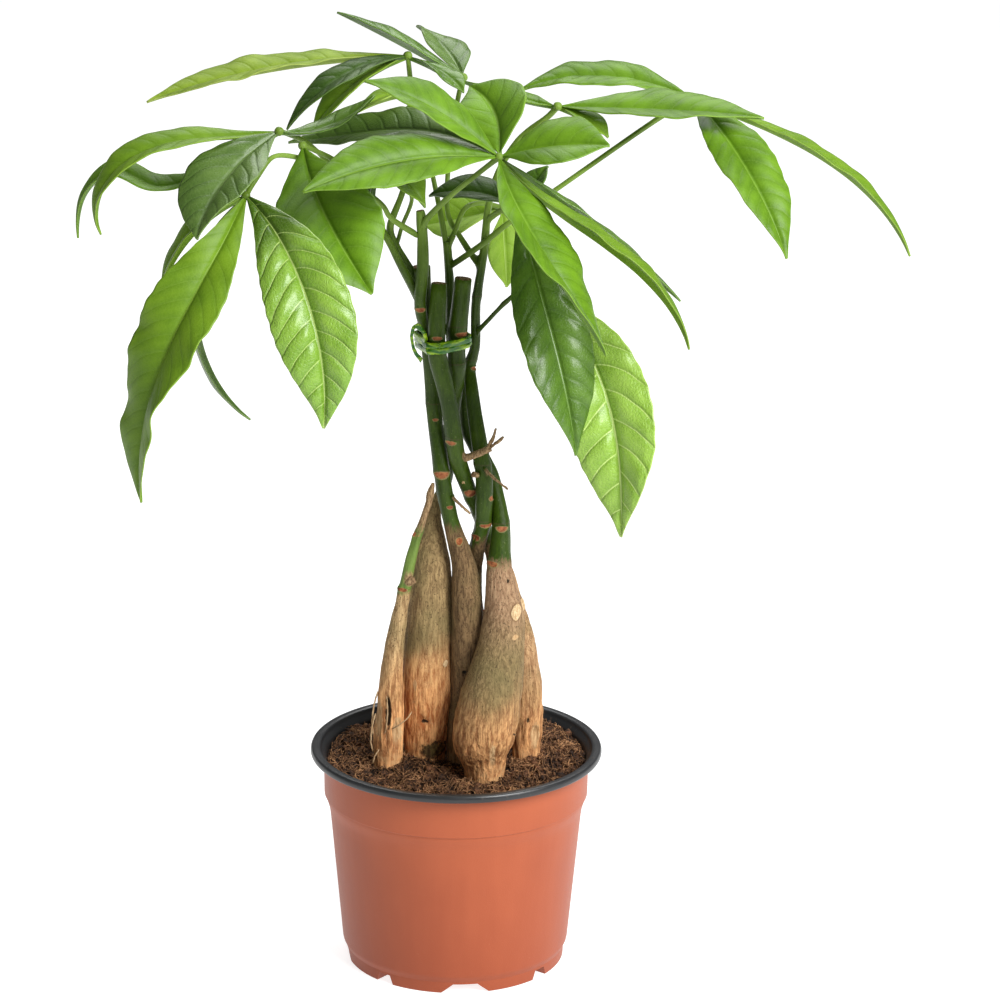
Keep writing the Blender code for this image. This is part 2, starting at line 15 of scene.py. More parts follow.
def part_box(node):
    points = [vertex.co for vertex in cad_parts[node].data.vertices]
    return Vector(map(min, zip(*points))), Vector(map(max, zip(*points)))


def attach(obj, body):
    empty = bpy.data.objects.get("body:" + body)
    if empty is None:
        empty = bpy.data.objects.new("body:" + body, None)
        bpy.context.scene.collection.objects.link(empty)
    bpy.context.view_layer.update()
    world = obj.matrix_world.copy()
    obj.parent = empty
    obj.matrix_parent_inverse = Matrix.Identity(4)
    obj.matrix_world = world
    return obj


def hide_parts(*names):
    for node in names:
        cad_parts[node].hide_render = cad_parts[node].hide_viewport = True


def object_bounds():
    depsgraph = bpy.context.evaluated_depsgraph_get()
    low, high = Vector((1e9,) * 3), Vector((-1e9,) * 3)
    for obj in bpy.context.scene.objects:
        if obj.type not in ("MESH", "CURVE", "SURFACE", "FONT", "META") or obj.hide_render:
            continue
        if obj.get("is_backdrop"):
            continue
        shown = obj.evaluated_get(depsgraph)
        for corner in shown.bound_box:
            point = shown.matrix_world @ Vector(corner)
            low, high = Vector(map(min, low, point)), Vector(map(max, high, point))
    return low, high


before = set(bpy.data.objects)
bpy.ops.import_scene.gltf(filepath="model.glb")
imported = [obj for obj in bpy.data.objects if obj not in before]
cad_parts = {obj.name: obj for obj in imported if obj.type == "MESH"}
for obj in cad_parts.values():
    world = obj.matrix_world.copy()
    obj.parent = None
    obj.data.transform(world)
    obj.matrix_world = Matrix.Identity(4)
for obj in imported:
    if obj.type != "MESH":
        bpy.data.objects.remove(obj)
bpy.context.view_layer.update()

# ---------------- camera
# It stands a metre and a half in front of the plant, above its crown, and looks down at it
# through a long lens. The angles are in radians and the lens in millimetres.
PLACE = (0, -1.5, 0.658)
TILT, TURN, ROLL = 0.2979, 0.0114, 0.0098
LENS, FARTHEST = 139.35, 20

bpy.ops.object.camera_add(location=PLACE)
camera = bpy.context.object
camera.data.lens = LENS
camera.data.clip_end = FARTHEST
camera.rotation_euler = (Matrix.Rotation(-TURN, 3, "Z") @ Matrix.Rotation(math.pi / 2 - TILT, 3, "X")
                         @ Matrix.Rotation(ROLL, 3, "Z")).to_euler()
bpy.context.scene.camera = camera
bpy.context.scene.view_settings.view_transform = "Standard"


# ---------------- pot
# A grower's pot, thermoformed from a sheet that is terracotta outside and black inside.
# The sheet's edge is rolled outwards, so the rim shows black; channels under the foot let water out.
MM = 0.001
MERGE = 1e-6                        # metres: points nearer than this are one
FILLET_STEPS, POT_TURNS = 4, 160


class Field:
    """A socket of a material's nodes: arithmetic on it adds Math nodes, node() adds any other."""

    def __init__(self, tree, socket):
        self.tree, self.socket = tree, socket

    def node(self, kind, settings, sockets, out=0):
        made = self.tree.nodes.new("ShaderNode" + kind)
        for name, value in settings.items():
            setattr(made, name, value)
        for name, value in sockets.items():
            if isinstance(value, Field):
                self.tree.links.new(value.socket, made.inputs[name])
            elif isinstance(value, tuple) and made.inputs[name].type == "RGBA":
                made.inputs[name].default_value = (*value, 1.0)
            else:
                made.inputs[name].default_value = value
        return Field(self.tree, made.outputs[out])

    def maths(self, operation, *values):
        return self.node("Math", {"operation": operation}, dict(enumerate(values)))

    def __add__(self, other):
        return self.maths("ADD", self, other)

    def __sub__(self, other):
        return self.maths("SUBTRACT", self, other)

    def __rsub__(self, other):
        return self.maths("SUBTRACT", other, self)

    def __mul__(self, other):
        return self.maths("MULTIPLY", self, other)

    def __abs__(self):
        return self.maths("ABSOLUTE", self)

    __radd__ = __add__
    __rmul__ = __mul__

    def rise(self, low, high):
        """0 below low, 1 above high and smooth between them; falls where high is the lower."""
        if high < low:
            return 1 - self.rise(high, low)
        return self.node("MapRange", {"interpolation_type": "SMOOTHSTEP"}, {0: self, 1: low, 2: high})

    def mix(self, none, full):
        """The colour none where this is 0 and full where it is 1."""
        return self.node("Mix", {"data_type": "RGBA"}, {0: self, 6: none, 7: full}, out=2)

    def noise(self, scale, detail=2.0, roughness=0.5, drawn=None):
        """Noise over this place; drawn squeezes or, below 1, draws it out: along the height, or along each axis."""
        place = self
        if drawn:
            stretch = drawn if isinstance(drawn, tuple) else (1, 1, drawn)
            place = self.node("VectorMath", {"operation": "MULTIPLY"}, {0: self, 1: stretch})
        return self.node("TexNoise", {}, {"Vector": place, "Scale": scale, "Detail": detail, "Roughness": roughness})

    def height(self):
        return self.node("SeparateXYZ", {}, {0: self}, out=2)


class Finish:
    """A material: its constants are set on the shader's sockets, and its varying ones are fields."""

    def __init__(self, name, **constants):
        self.material = bpy.data.materials.new(name)
        self.material.use_nodes = True
        self.tree = self.material.node_tree
        self.shader = self.tree.nodes["Principled BSDF"]
        for socket, value in constants.items():
            self.shader.inputs[socket.replace("_", " ")].default_value = value
        coordinates = self.tree.nodes.new("ShaderNodeTexCoord")
        self.place = Field(self.tree, coordinates.outputs["Object"])

    def read(self, attribute):
        return self.place.node("Attribute", {"attribute_name": attribute}, {}, "Fac")

    def feed(self, **fields):
        for socket, field in fields.items():
            self.tree.links.new(field.socket, self.shader.inputs[socket.replace("_", " ")])

    def relief(self, height, depth):
        """Fine relief too small for the mesh: height 0 to 1 stands for depth metres."""
        self.feed(Normal=height.node("Bump", {}, {"Height": height, "Distance": depth}))


def rounded(corners):
    """An outline of (radius, height, fillet) corners, with each fillet as an arc."""
    outline = []
    for (x0, z0, _), (x, z, fillet), (x1, z1, _) in zip(corners[-1:] + corners, corners, corners[1:] + corners[:1]):
        here = Vector((x, z))
        if fillet == 0:
            outline.append(here)
            continue
        before, after = Vector((x0, z0)) - here, Vector((x1, z1)) - here
        start = here + before.normalized() * min(fillet, before.length * 0.45)
        end = here + after.normalized() * min(fillet, after.length * 0.45)
        for step in range(FILLET_STEPS + 1):
            t = step / FILLET_STEPS
            outline.append(start * (1 - t) ** 2 + here * 2 * t * (1 - t) + end * t * t)
    return outline


def select_only(thing):
    bpy.ops.object.select_all(action="DESELECT")
    bpy.context.view_layer.objects.active = thing
    thing.select_set(True)


def turned(name, corners):
    """Spin an outline in millimetres, whose first and last corners lie on the axis, into a closed body."""
    outline = rounded(corners)
    mesh = bpy.data.meshes.new(name)
    mesh.from_pydata([(x * MM, 0, z * MM) for x, z in outline], [(i, i + 1) for i in range(len(outline) - 1)], [])
    body = bpy.data.objects.new(name, mesh)
    bpy.context.collection.objects.link(body)
    select_only(body)
    bpy.ops.object.mode_set(mode="EDIT")
    bpy.ops.mesh.select_all(action="SELECT")
    bpy.ops.mesh.spin(steps=POT_TURNS, angle=2 * math.pi, center=(0, 0, 0), axis=(0, 0, 1))
    bpy.ops.mesh.select_all(action="SELECT")
    bpy.ops.mesh.remove_doubles(threshold=MERGE)
    bpy.ops.mesh.normals_make_consistent(inside=False)
    bpy.ops.object.mode_set(mode="OBJECT")
    return body


def cut(body, tools):
    """Cut the tools, joined into one, out of the body."""
    select_only(tools[0])
    for tool in tools:
        tool.select_set(True)
    if len(tools) > 1:
        bpy.ops.object.join()
    select_only(body)
    step = body.modifiers.new("cut", "BOOLEAN")
    step.operation = "DIFFERENCE"
    step.object = tools[0]
    bpy.ops.object.modifier_apply(modifier=step.name)
    bpy.data.objects.remove(tools[0])


def channels(widen, height, inner):
    """Radial bars, narrower at their tops, that shape the drain channels: a wide one and a narrow one take turns."""
    outer, below = CHANNEL_REACH, -CHANNEL_START - widen
    bars = []
    for index, turn in enumerate(CHANNEL_TURNS):
        foot, tip = CHANNEL_WIDTHS[index % 2]
        bpy.ops.mesh.primitive_cube_add(size=1, location=(0, -(inner + outer) / 2 * MM, (height + below) / 2 * MM))
        bar = bpy.context.object
        bar.scale = ((foot + 2 * widen) * MM, (outer - inner) * MM, (height - below) * MM)
        bpy.ops.object.transform_apply(location=True, scale=True)
        for vert in bar.data.vertices:
            if vert.co.z > 0:
                vert.co.x *= (tip + 2 * widen) / (foot + 2 * widen)
        bar.data.transform(Matrix.Rotation(turn, 4, "Z"))
        bars.append(bar)
    return bars


CHANNEL_WIDTHS = ((25.0, 10.0), (10.0, 5.5))       # of a wide and a narrow one, below the foot and at the top
CHANNEL_HEIGHT, CHANNEL_REACH, CHANNEL_START = 4.0, 53.0, 2.0
CHANNEL_TURNS = [math.radians(5.5 + 45 * k) for k in range(8)]
DRAIN_RADIUS, DRAIN_PLACE, DRAIN_LENGTH = 2.4, 37, 20
WALL_HEIGHTS = (-1, 4.5, 7.7, 62, 66, 69.5, 72, 88)
WALL_RADII = (44.8, 44.9, 46.4, 51.4, 51.9, 53.3, 53.9, 54.2)      # of the wall's middle at those heights
BLACK_FROM = 88.2                   # height where the terracotta side of the sheet ends
SHARP = math.radians(38)            # edges sharper than this stay so
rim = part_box("pot")[1].x / MM
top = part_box("pot")[1].z / MM
pot = turned("pot_shell", [
    (0, 0, 0), (45.3, 0, 0.5), (45.45, 4.9, 0.25), (46.9, 7.6, 1.0), (51.9, 62, 1.0), (52.4, 66, 1.8),
    (53.7, 70.2, 1.0), (53.85, 71.45, 0.12), (54.5, 71.8, 0.18), (54.7, 87.4, 0.5), (55.5, 88.6, 0.6),
    (56.4, 88.4, 0.3), (58.6, 88.5, 0.4), (60.0, 89.0, 0.8), (rim, 90.4, 0.8), (59.7, 91.8, 0.8), (58.6, top, 0.6),
    (57.2, top, 0.6), (56.1, 91.5, 0.6), (55.8, 90.4, 0), (0, 90.4, 0)])
cut(pot, channels(0, CHANNEL_HEIGHT, 24))
hollow = turned("hollow", [
    (0, 1, 0), (43.1, 1, 1), (44.3, 3.5, 1), (45.9, 7.9, 2), (50.9, 62, 1), (51.5, 65.6, 1.5), (52.9, 69.6, 1.2),
    (53.4, 72.2, 0.5), (53.7, 87.6, 1), (55.0, 89.4, 0.5), (55.8, 90.4, 0), (56.2, 95, 0), (0, 95, 0)])
cut(hollow, channels(1, CHANNEL_HEIGHT + 1, 23))
cut(pot, [hollow])
drains = []
for turn in CHANNEL_TURNS:
    bpy.ops.mesh.primitive_cylinder_add(
        vertices=24, radius=DRAIN_RADIUS * MM, depth=DRAIN_LENGTH * MM,
        location=(DRAIN_PLACE * MM * math.sin(turn), -DRAIN_PLACE * MM * math.cos(turn), 5 * MM))
    drains.append(bpy.context.object)
cut(pot, drains)

terracotta = Finish("pot_terracotta", Specular_IOR_Level=0.30)
height = terracotta.place.height()
cloud = terracotta.place.noise(25, 3)
flow = terracotta.place.noise(140, 2, drawn=0.12)
dust = terracotta.place.noise(700, 4, 0.7).rise(0.62, 0.8)
tone = (cloud * 0.5 + flow * 0.25 + height.rise(0, 0.09) * 0.35).rise(0.2, 0.95)
terracotta.feed(
    Base_Color=(dust * 0.15).mix(tone.mix((0.300, 0.062, 0.022), (0.400, 0.094, 0.036)), (0.50, 0.25, 0.15)),
    Roughness=0.40 + cloud * 0.12 + dust * 0.2)
terracotta.relief(flow * 0.6 + terracotta.place.noise(2600, 2) * 0.4, 0.00012)
black = Finish("pot_black", Specular_IOR_Level=0.5)
grit = black.place.noise(420, 5, 0.7).rise(0.60, 0.78)
smear = black.place.noise(60, 3, drawn=4)
black.feed(
    Base_Color=(grit * 0.45).mix(smear.mix((0.010, 0.011, 0.012), (0.026, 0.027, 0.029)), (0.16, 0.10, 0.06)),
    Roughness=0.24 + smear * 0.2 + grit * 0.3)
black.relief(smear * 0.5 + grit * 0.5, 0.0001)
pot.data.materials.clear()
pot.data.materials.append(terracotta.material)
pot.data.materials.append(black.material)
for face in pot.data.polygons:
    x, y, z = face.center / MM
    below = z < CHANNEL_HEIGHT + 0.5 and face.normal.z < 0.5
    outside = math.hypot(x, y) > np.interp(z, WALL_HEIGHTS, WALL_RADII) or below
    face.material_index = 0 if outside and z < BLACK_FROM else 1
select_only(pot)
bpy.ops.object.shade_smooth_by_angle(angle=SHARP)
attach(pot, "root")
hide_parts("pot")

# ---------------- soil
# Coarse peat, filled to a finger below the rim: a bed with a crumbly surface, and loose lumps
# and fibres of root and moss that lie on it.
SOIL_RINGS, SOIL_SPOKES = 96, 260
SOIL_RADIUS = 53.6
SOIL_EDGE, SOIL_CROWN = 82.0, 84.0
SOIL_SIDE = ((53.3, 76), (50.9, 66), (45.0, 9), (42.5, 5.4))       # radii and heights down the pot's wall
LOOSE_RADIUS, FIBRE_RADIUS = 53.2, 53.4                            # how far out loose bits start and fibres reach
FIBRE_STEPS = 6
# Where it is banked up, round the trunks and behind them: x, y, spread, height
SOIL_BANKS = ((-20, -3, 13, 4.0), (42, 6, 18, 5.0), (36, 36, 24, 6.0), (-2, 50, 24, 6.0), (-42, 22, 22, 6.5))


def soil_height(x, y):
    """Height of the peat at a place, all in millimetres."""
    share = min(math.hypot(x, y) / SOIL_RADIUS, 1)
    place = Vector((x, y, 0))
    lumps = noise.fractal(place * 0.11, 1.0, 2.0, 3) * 1.0
    crumbs = abs(noise.fractal(place * 0.55 + Vector((5, 3, 1)), 0.8, 2.1, 4)) * 2.2
    banks = sum(height * math.exp(-((x - u) ** 2 + (y - v) ** 2) / spread ** 2) for u, v, spread, height in SOIL_BANKS)
    return SOIL_EDGE + (SOIL_CROWN - SOIL_EDGE) * (1 - share ** 2) + banks + lumps + crumbs - 1.1


def smooth(mesh):
    mesh.polygons.foreach_set("use_smooth", [True] * len(mesh.polygons))


def piece_of(name, build):
    """The mesh that has been built, as a piece in the scene."""
    mesh = bpy.data.meshes.new(name)
    build.to_mesh(mesh)
    build.free()
    piece = bpy.data.objects.new(name, mesh)
    bpy.context.collection.objects.link(piece)
    return piece


def make_peat():
    """The peat bed: its crumbly top, its side against the pot's wall and its flat bottom."""
    build = bmesh.new()
    rings = []
    for ring in range(1, SOIL_RINGS + 1):
        radius = SOIL_RADIUS * ring / SOIL_RINGS
        points = []
        for spoke in range(SOIL_SPOKES):
            turn = 2 * math.pi * (spoke + 0.5 * (ring % 2)) / SOIL_SPOKES
            x, y = radius * math.cos(turn), radius * math.sin(turn)
            points.append(build.verts.new(Vector((x, y, soil_height(x, y))) * MM))
        rings.append(points)
    for reach, z in SOIL_SIDE:
        rings.append([build.verts.new(Vector((reach * math.cos(a), reach * math.sin(a), z)) * MM)
                      for a in (2 * math.pi * k / SOIL_SPOKES for k in range(SOIL_SPOKES))])
    crown = build.verts.new(Vector((0, 0, soil_height(0, 0))) * MM)
    for k in range(SOIL_SPOKES):
        build.faces.new((crown, rings[0][k], rings[0][(k + 1) % SOIL_SPOKES]))
    for inner, outer in zip(rings, rings[1:]):
        for k in range(SOIL_SPOKES):
            after = (k + 1) % SOIL_SPOKES
            build.faces.new((inner[k], outer[k], outer[after], inner[after]))
    build.faces.new(list(reversed(rings[-1])))
    return piece_of("peat", build)


def peat_finish(name, dark, light, roughness):
    """Damp peat: dark crumbs with paler, dusty tops."""
    finish = Finish(name, Specular_IOR_Level=0.25)
    grain = finish.place.noise(900, 5, 0.65)
    patches = finish.place.noise(120, 3)
    finish.feed(Base_Color=(grain * 0.7 + patches * 0.5).rise(0.48, 0.80).mix(dark, light),
                Roughness=roughness + grain * 0.15)
    finish.relief(grain, 0.0006)
    return finish.material


def scatter(name, build_one, count, seed):
    """Many small bits lying on the peat, made as one mesh."""
    draw = random.Random(seed)
    build = bmesh.new()
    for _ in range(count):
        build_one(build, draw)
    return piece_of(name, build)


def spot_on_peat(draw):
    radius = LOOSE_RADIUS * math.sqrt(draw.random())
    turn = draw.uniform(0, 2 * math.pi)
    x, y = radius * math.cos(turn), radius * math.sin(turn)
    return Vector((x, y, soil_height(x, y)))


def crumb(build, draw):
    """A lump of peat: a dented ball, a little flat."""
    size = draw.uniform(0.35, 1.1) * (1.9 if draw.random() < 0.08 else 1)
    place = spot_on_peat(draw) + Vector((0, 0, size * 0.25))
    made = bmesh.ops.create_icosphere(build, subdivisions=1, radius=1)
    turn = Matrix.Rotation(draw.uniform(0, 6.28), 3, "Z") @ Matrix.Rotation(draw.uniform(-0.6, 0.6), 3, "X")
    for vert in made["verts"]:
        dent = 1 + draw.uniform(-0.38, 0.38)
        shape = Vector((vert.co.x * 1.25, vert.co.y, vert.co.z * 0.75)) * size * dent
        vert.co = (place + turn @ shape) * MM


def strand(build, path, radius, sides=4):
    """A thin closed tube along a path in millimetres, tapering to its ends."""
    rings = []
    for i, place in enumerate(path):
        ahead = (path[min(i + 1, len(path) - 1)] - path[max(i - 1, 0)]).normalized()
        side = ahead.cross(Vector((0.1, 0.2, 1))).normalized()
        up = side.cross(ahead)
        thick = radius * (0.45 if i in (0, len(path) - 1) else 1)
        rings.append([build.verts.new((place + (side * math.cos(a) + up * math.sin(a)) * thick) * MM)
                      for a in (2 * math.pi * k / sides for k in range(sides))])
    for lower, upper in zip(rings, rings[1:]):
        for k in range(sides):
            build.faces.new((lower[k], lower[(k + 1) % sides], upper[(k + 1) % sides], upper[k]))
    build.faces.new(list(reversed(rings[0])))
    build.faces.new(rings[-1])


def fibre(build, draw):
    """A root fibre or moss stem that lies over the crumbs and bends."""
    start = spot_on_peat(draw)
    heading, bend = draw.uniform(0, 6.28), draw.uniform(-0.5, 0.5)
    length, hump = draw.uniform(2.5, 9), draw.uniform(0.2, 1.6)
    path = []
    place = start.copy()
    for step in range(FIBRE_STEPS + 1):
        rise = math.sin(math.pi * step / FIBRE_STEPS) * hump + 0.3
        x, y = place.x, place.y
        if math.hypot(x, y) > FIBRE_RADIUS:
            break
        path.append(Vector((x, y, soil_height(x, y) + rise)))
        place += Vector((math.cos(heading), math.sin(heading), 0)) * length / FIBRE_STEPS
        heading += bend * draw.uniform(0.3, 1.2)
    if len(path) > 2:
        strand(build, path, draw.uniform(0.10, 0.24))


peat = make_peat()
smooth(peat.data)
peat.data.materials.append(peat_finish("peat", (0.010, 0.005, 0.003), (0.15, 0.066, 0.030), 0.75))
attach(peat, "root")
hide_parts("soil")
for name, build_one, count, colours, seed in (
        ("peat_crumbs", crumb, 2300, ((0.014, 0.007, 0.004), (0.20, 0.085, 0.037)), 3),
        ("peat_fibres", fibre, 2600, ((0.060, 0.024, 0.009), (0.50, 0.26, 0.12)), 4)):
    bits = scatter(name, build_one, count, seed)
    smooth(bits.data)
    bits.data.materials.append(peat_finish(name, *colours, 0.7))
    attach(bits, "root")

# ---------------- trunks and stems
# Six seedlings were planted together and braided while young. Each is one growth, from its
# bulbous bark-covered foot through the green stem to its shoots, leaf stalks and cut stubs.

# What a mark does to the surface: depth of its middle, height of its rim, and its tone.
MARKS = {"scar": (0.25, 0.40, "scar"), "knob": (-0.70, 0.35, "pale"), "slit": (1.6, 0.45, "shade"),
         "moss": (-0.35, 0.0, "moss"), "chalk": (0.10, 0.10, "raw"), "torn": (0.40, 0.15, "raw")}
# Each trunk: the heights where its bark turns green and rusty, how much fuller it is low down, the heights
# of the rings that old leaves left right round it, and its marks: kind, the side that it faces in degrees round
# from the front, offset across, height, half width and half height.
TRUNKS = {
    "trunk_left_thin": (162, 112, 0.5, (162.6, 186.5), [
        ("scar", 0, -22, 162.8, 1.6, 1.1), ("scar", 0, -17.2, 186, 1.7, 1.2), ("slit", 0, -27.8, 110, 1.1, 7),
        ("torn", 0, -31.5, 106, 1.4, 9), ("torn", 0, -24.5, 101, 1.8, 6), ("knob", -70, 5, 128, 1.2, 1.6),
        ("scar", 170, 22, 150, 1.4, 1.1)]),
    "trunk_left": (203, 126, 0.35, (226, 255, 271), [
        ("knob", 0, -5.0, 128.9, 1.0, 1.5), ("slit", 0, -12.9, 104.4, 1.6, 0.8), ("moss", 0, -9.4, 91.5, 4.6, 3.6),
        ("chalk", 0, -17, 120, 0.7, 2.6), ("scar", 150, 10, 150, 2.2, 1.4), ("knob", -120, 0, 166, 1.5, 2.2),
        ("scar", 0, 1, 268, 2.2, 1.3), ("scar", 180, 3, 232, 1.9, 1.2)]),
    "trunk_middle": (184, 100, 1.0, (157.5, 211.5, 238, 265), [
        ("scar", 0, -6.6, 210.4, 2.6, 1.9), ("scar", 0, -3.2, 196.5, 1.1, 0.9), ("knob", 0, -6.2, 190.2, 1.0, 1.1),
        ("scar", 0, 0.6, 182.6, 1.3, 2.1), ("scar", 0, -9.2, 232, 1.1, 0.8), ("scar", 0, -15.4, 279, 1.8, 1.2),
        ("scar", 120, 0, 200, 2.0, 1.4), ("slit", 0, 3.2, 126, 0.8, 1.0), ("scar", 200, 8, 245, 1.7, 1.2)]),
    "trunk_front": (170, 112, 0, (174, 189, 215, 240), [
        ("scar", 0, 17.8, 187.6, 2.0, 1.4), ("scar", 0, 14.2, 173.6, 2.1, 1.5), ("slit", 0, 20.5, 166.6, 0.5, 0.8),
        ("chalk", 0, 23.6, 144.5, 1.3, 1.0), ("knob", 0, 23.8, 154, 2.0, 3.1), ("knob", 100, 8, 128, 1.5, 2.2),
        ("torn", 0, 14.8, 96, 1.2, 6), ("torn", 60, 0, 94, 2.2, 4), ("slit", 0, 24, 104, 0.7, 0.9)]),
    "trunk_right": (176, 112, 0, (190, 226, 262), [
        ("knob", 0, 25.3, 150.4, 2.1, 3.2), ("scar", 0, -2.9, 224.7, 1.9, 1.2), ("scar", 0, 4.9, 201.5, 2.1, 2.0),
        ("chalk", 0, 2.5, 206.4, 0.9, 0.8), ("torn", 25, 28, 97, 2.0, 5.5), ("torn", 0, 32.4, 98, 1.6, 3.2),
        ("slit", 0, 29.5, 104, 0.6, 1.0), ("scar", 190, -28, 125, 2.2, 1.5), ("scar", 0, -8.6, 268, 1.8, 1.1)]),
    "trunk_back": (178, 118, 0, (190, 214, 255, 282), [
        ("scar", 0, 11.4, 188.8, 2.1, 1.2), ("scar", 0, 7.4, 182.8, 1.5, 1.9), ("scar", 0, 13.6, 200.5, 1.0, 1.2),
        ("knob", 180, -6, 120, 1.8, 2.6), ("scar", 160, -4, 146, 2.0, 1.3), ("scar", 0, 6.5, 252, 1.5, 1.0)]),
}
# Dry twigs and stubs: the two ends of each, and how far round that line the growth is dead.
DRY = {"trunk_left_thin": [((-14, -9, 193), (-9, -9, 210), 5.5), ((-19, -12, 167), (-17, -14, 168), 2.4)],
       "trunk_middle": [((-0.5, -8.5, 199.5), (6, -11.5, 194), 1.8)],
       "trunk_right": [((4.5, -9.2, 218.5), (13, -11, 222.5), 2.4), ((13, -11, 222.5), (18.5, -12.5, 232), 3.5)],
       "trunk_back": [((12.5, -9.5, 211.3), (21, -13.5, 205.5), 1.8), ((6.6, -9, 211), (5.6, -10.6, 211), 1.9)]}
SCAR_TOP = 2.2                      # a leaf scar is a half moon: this many times flatter above its middle than below
FAR = 9.0                           # stored where no mark is near
CUT_CREASE = 0.85                   # how well the rims of the cut ends keep their edge
MAX_PULL = 0.0004                   # metres that one round of rounding may move a point
FULL_TO = (130, 160)                # heights where the fuller bark starts to thin out and where that ends
MARK_TONES = ("scar", "pale", "shade", "moss", "raw")


def rounded_copy(node, name, levels):
    """The solid again with round tubes for its facets: subdivided, yet still through its own points.

    Returns the piece and its flat cut ends as (centre, normal, radius), in metres.
    """
    build = bmesh.new()
    build.from_mesh(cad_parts[node].data)
    bmesh.ops.remove_doubles(build, verts=build.verts, dist=MERGE)
    bmesh.ops.dissolve_limit(build, angle_limit=math.radians(1.2), verts=build.verts, edges=build.edges)
    crease = build.edges.layers.float.new("crease_edge")
    ends = []
    for face in build.faces:
        if len(face.verts) >= 6 and min(edge.calc_face_angle(0) for edge in face.edges) > 0.7:
            for edge in face.edges:
                edge[crease] = CUT_CREASE
            ends.append((face.calc_center_median(), face.normal.copy(), math.sqrt(face.calc_area() / math.pi)))
    bmesh.ops.join_triangles(build, faces=[f for f in build.faces if len(f.verts) == 3],
                             angle_face_threshold=math.radians(35), angle_shape_threshold=math.radians(50))
    piece = piece_of(name, build)
    mesh = piece.data
    step = piece.modifiers.new("round", "SUBSURF")
    step.levels = step.render_levels = levels
    given = np.array([v.co for v in mesh.vertices])
    for _ in range(3):
        graph = bpy.context.evaluated_depsgraph_get()
        made = piece.evaluated_get(graph).to_mesh()
        reached = np.array([v.co for v in made.vertices[:len(given)]])
        piece.evaluated_get(graph).to_mesh_clear()
        held = np.array([v.co for v in mesh.vertices])
        mesh.vertices.foreach_set("co", (held + np.clip(given - reached, -MAX_PULL, MAX_PULL)).ravel())
        mesh.update()
    select_only(piece)
    bpy.ops.object.modifier_apply(modifier=step.name)
    return piece, ends


def ramp(x, low, high):
    t = np.clip((x - low) / (high - low), 0, 1)
    return t * t * (3 - 2 * t)


def find_marks(mesh, marks):
    """Where each mark lies, and the way across it: a ray towards the stem, from the mark's side, ends there."""
    tree = BVHTree.FromPolygons([v.co for v in mesh.vertices], [p.vertices for p in mesh.polygons])
    found = []
    for kind, side, offset, height, half_width, half_height in marks:
        turn = Matrix.Rotation(math.radians(side), 3, "Z")
        start = turn @ Vector((offset, -300, 0)) * MM + Vector((0, 0, height)) * MM
        spot = tree.ray_cast(start, turn @ Vector((0, 1, 0)))[0]
        if spot is not None:
            found.append((kind, spot / MM, turn @ Vector((1, 0, 0)), half_width, half_height))
    return found


def mark_reach(kind, across, up):
    """1 at a mark's outline, 0 in its middle; a leaf scar is a half moon, flat at the top."""
    return math.hypot(across, max(SCAR_TOP * up, -up) if kind == "scar" else up)


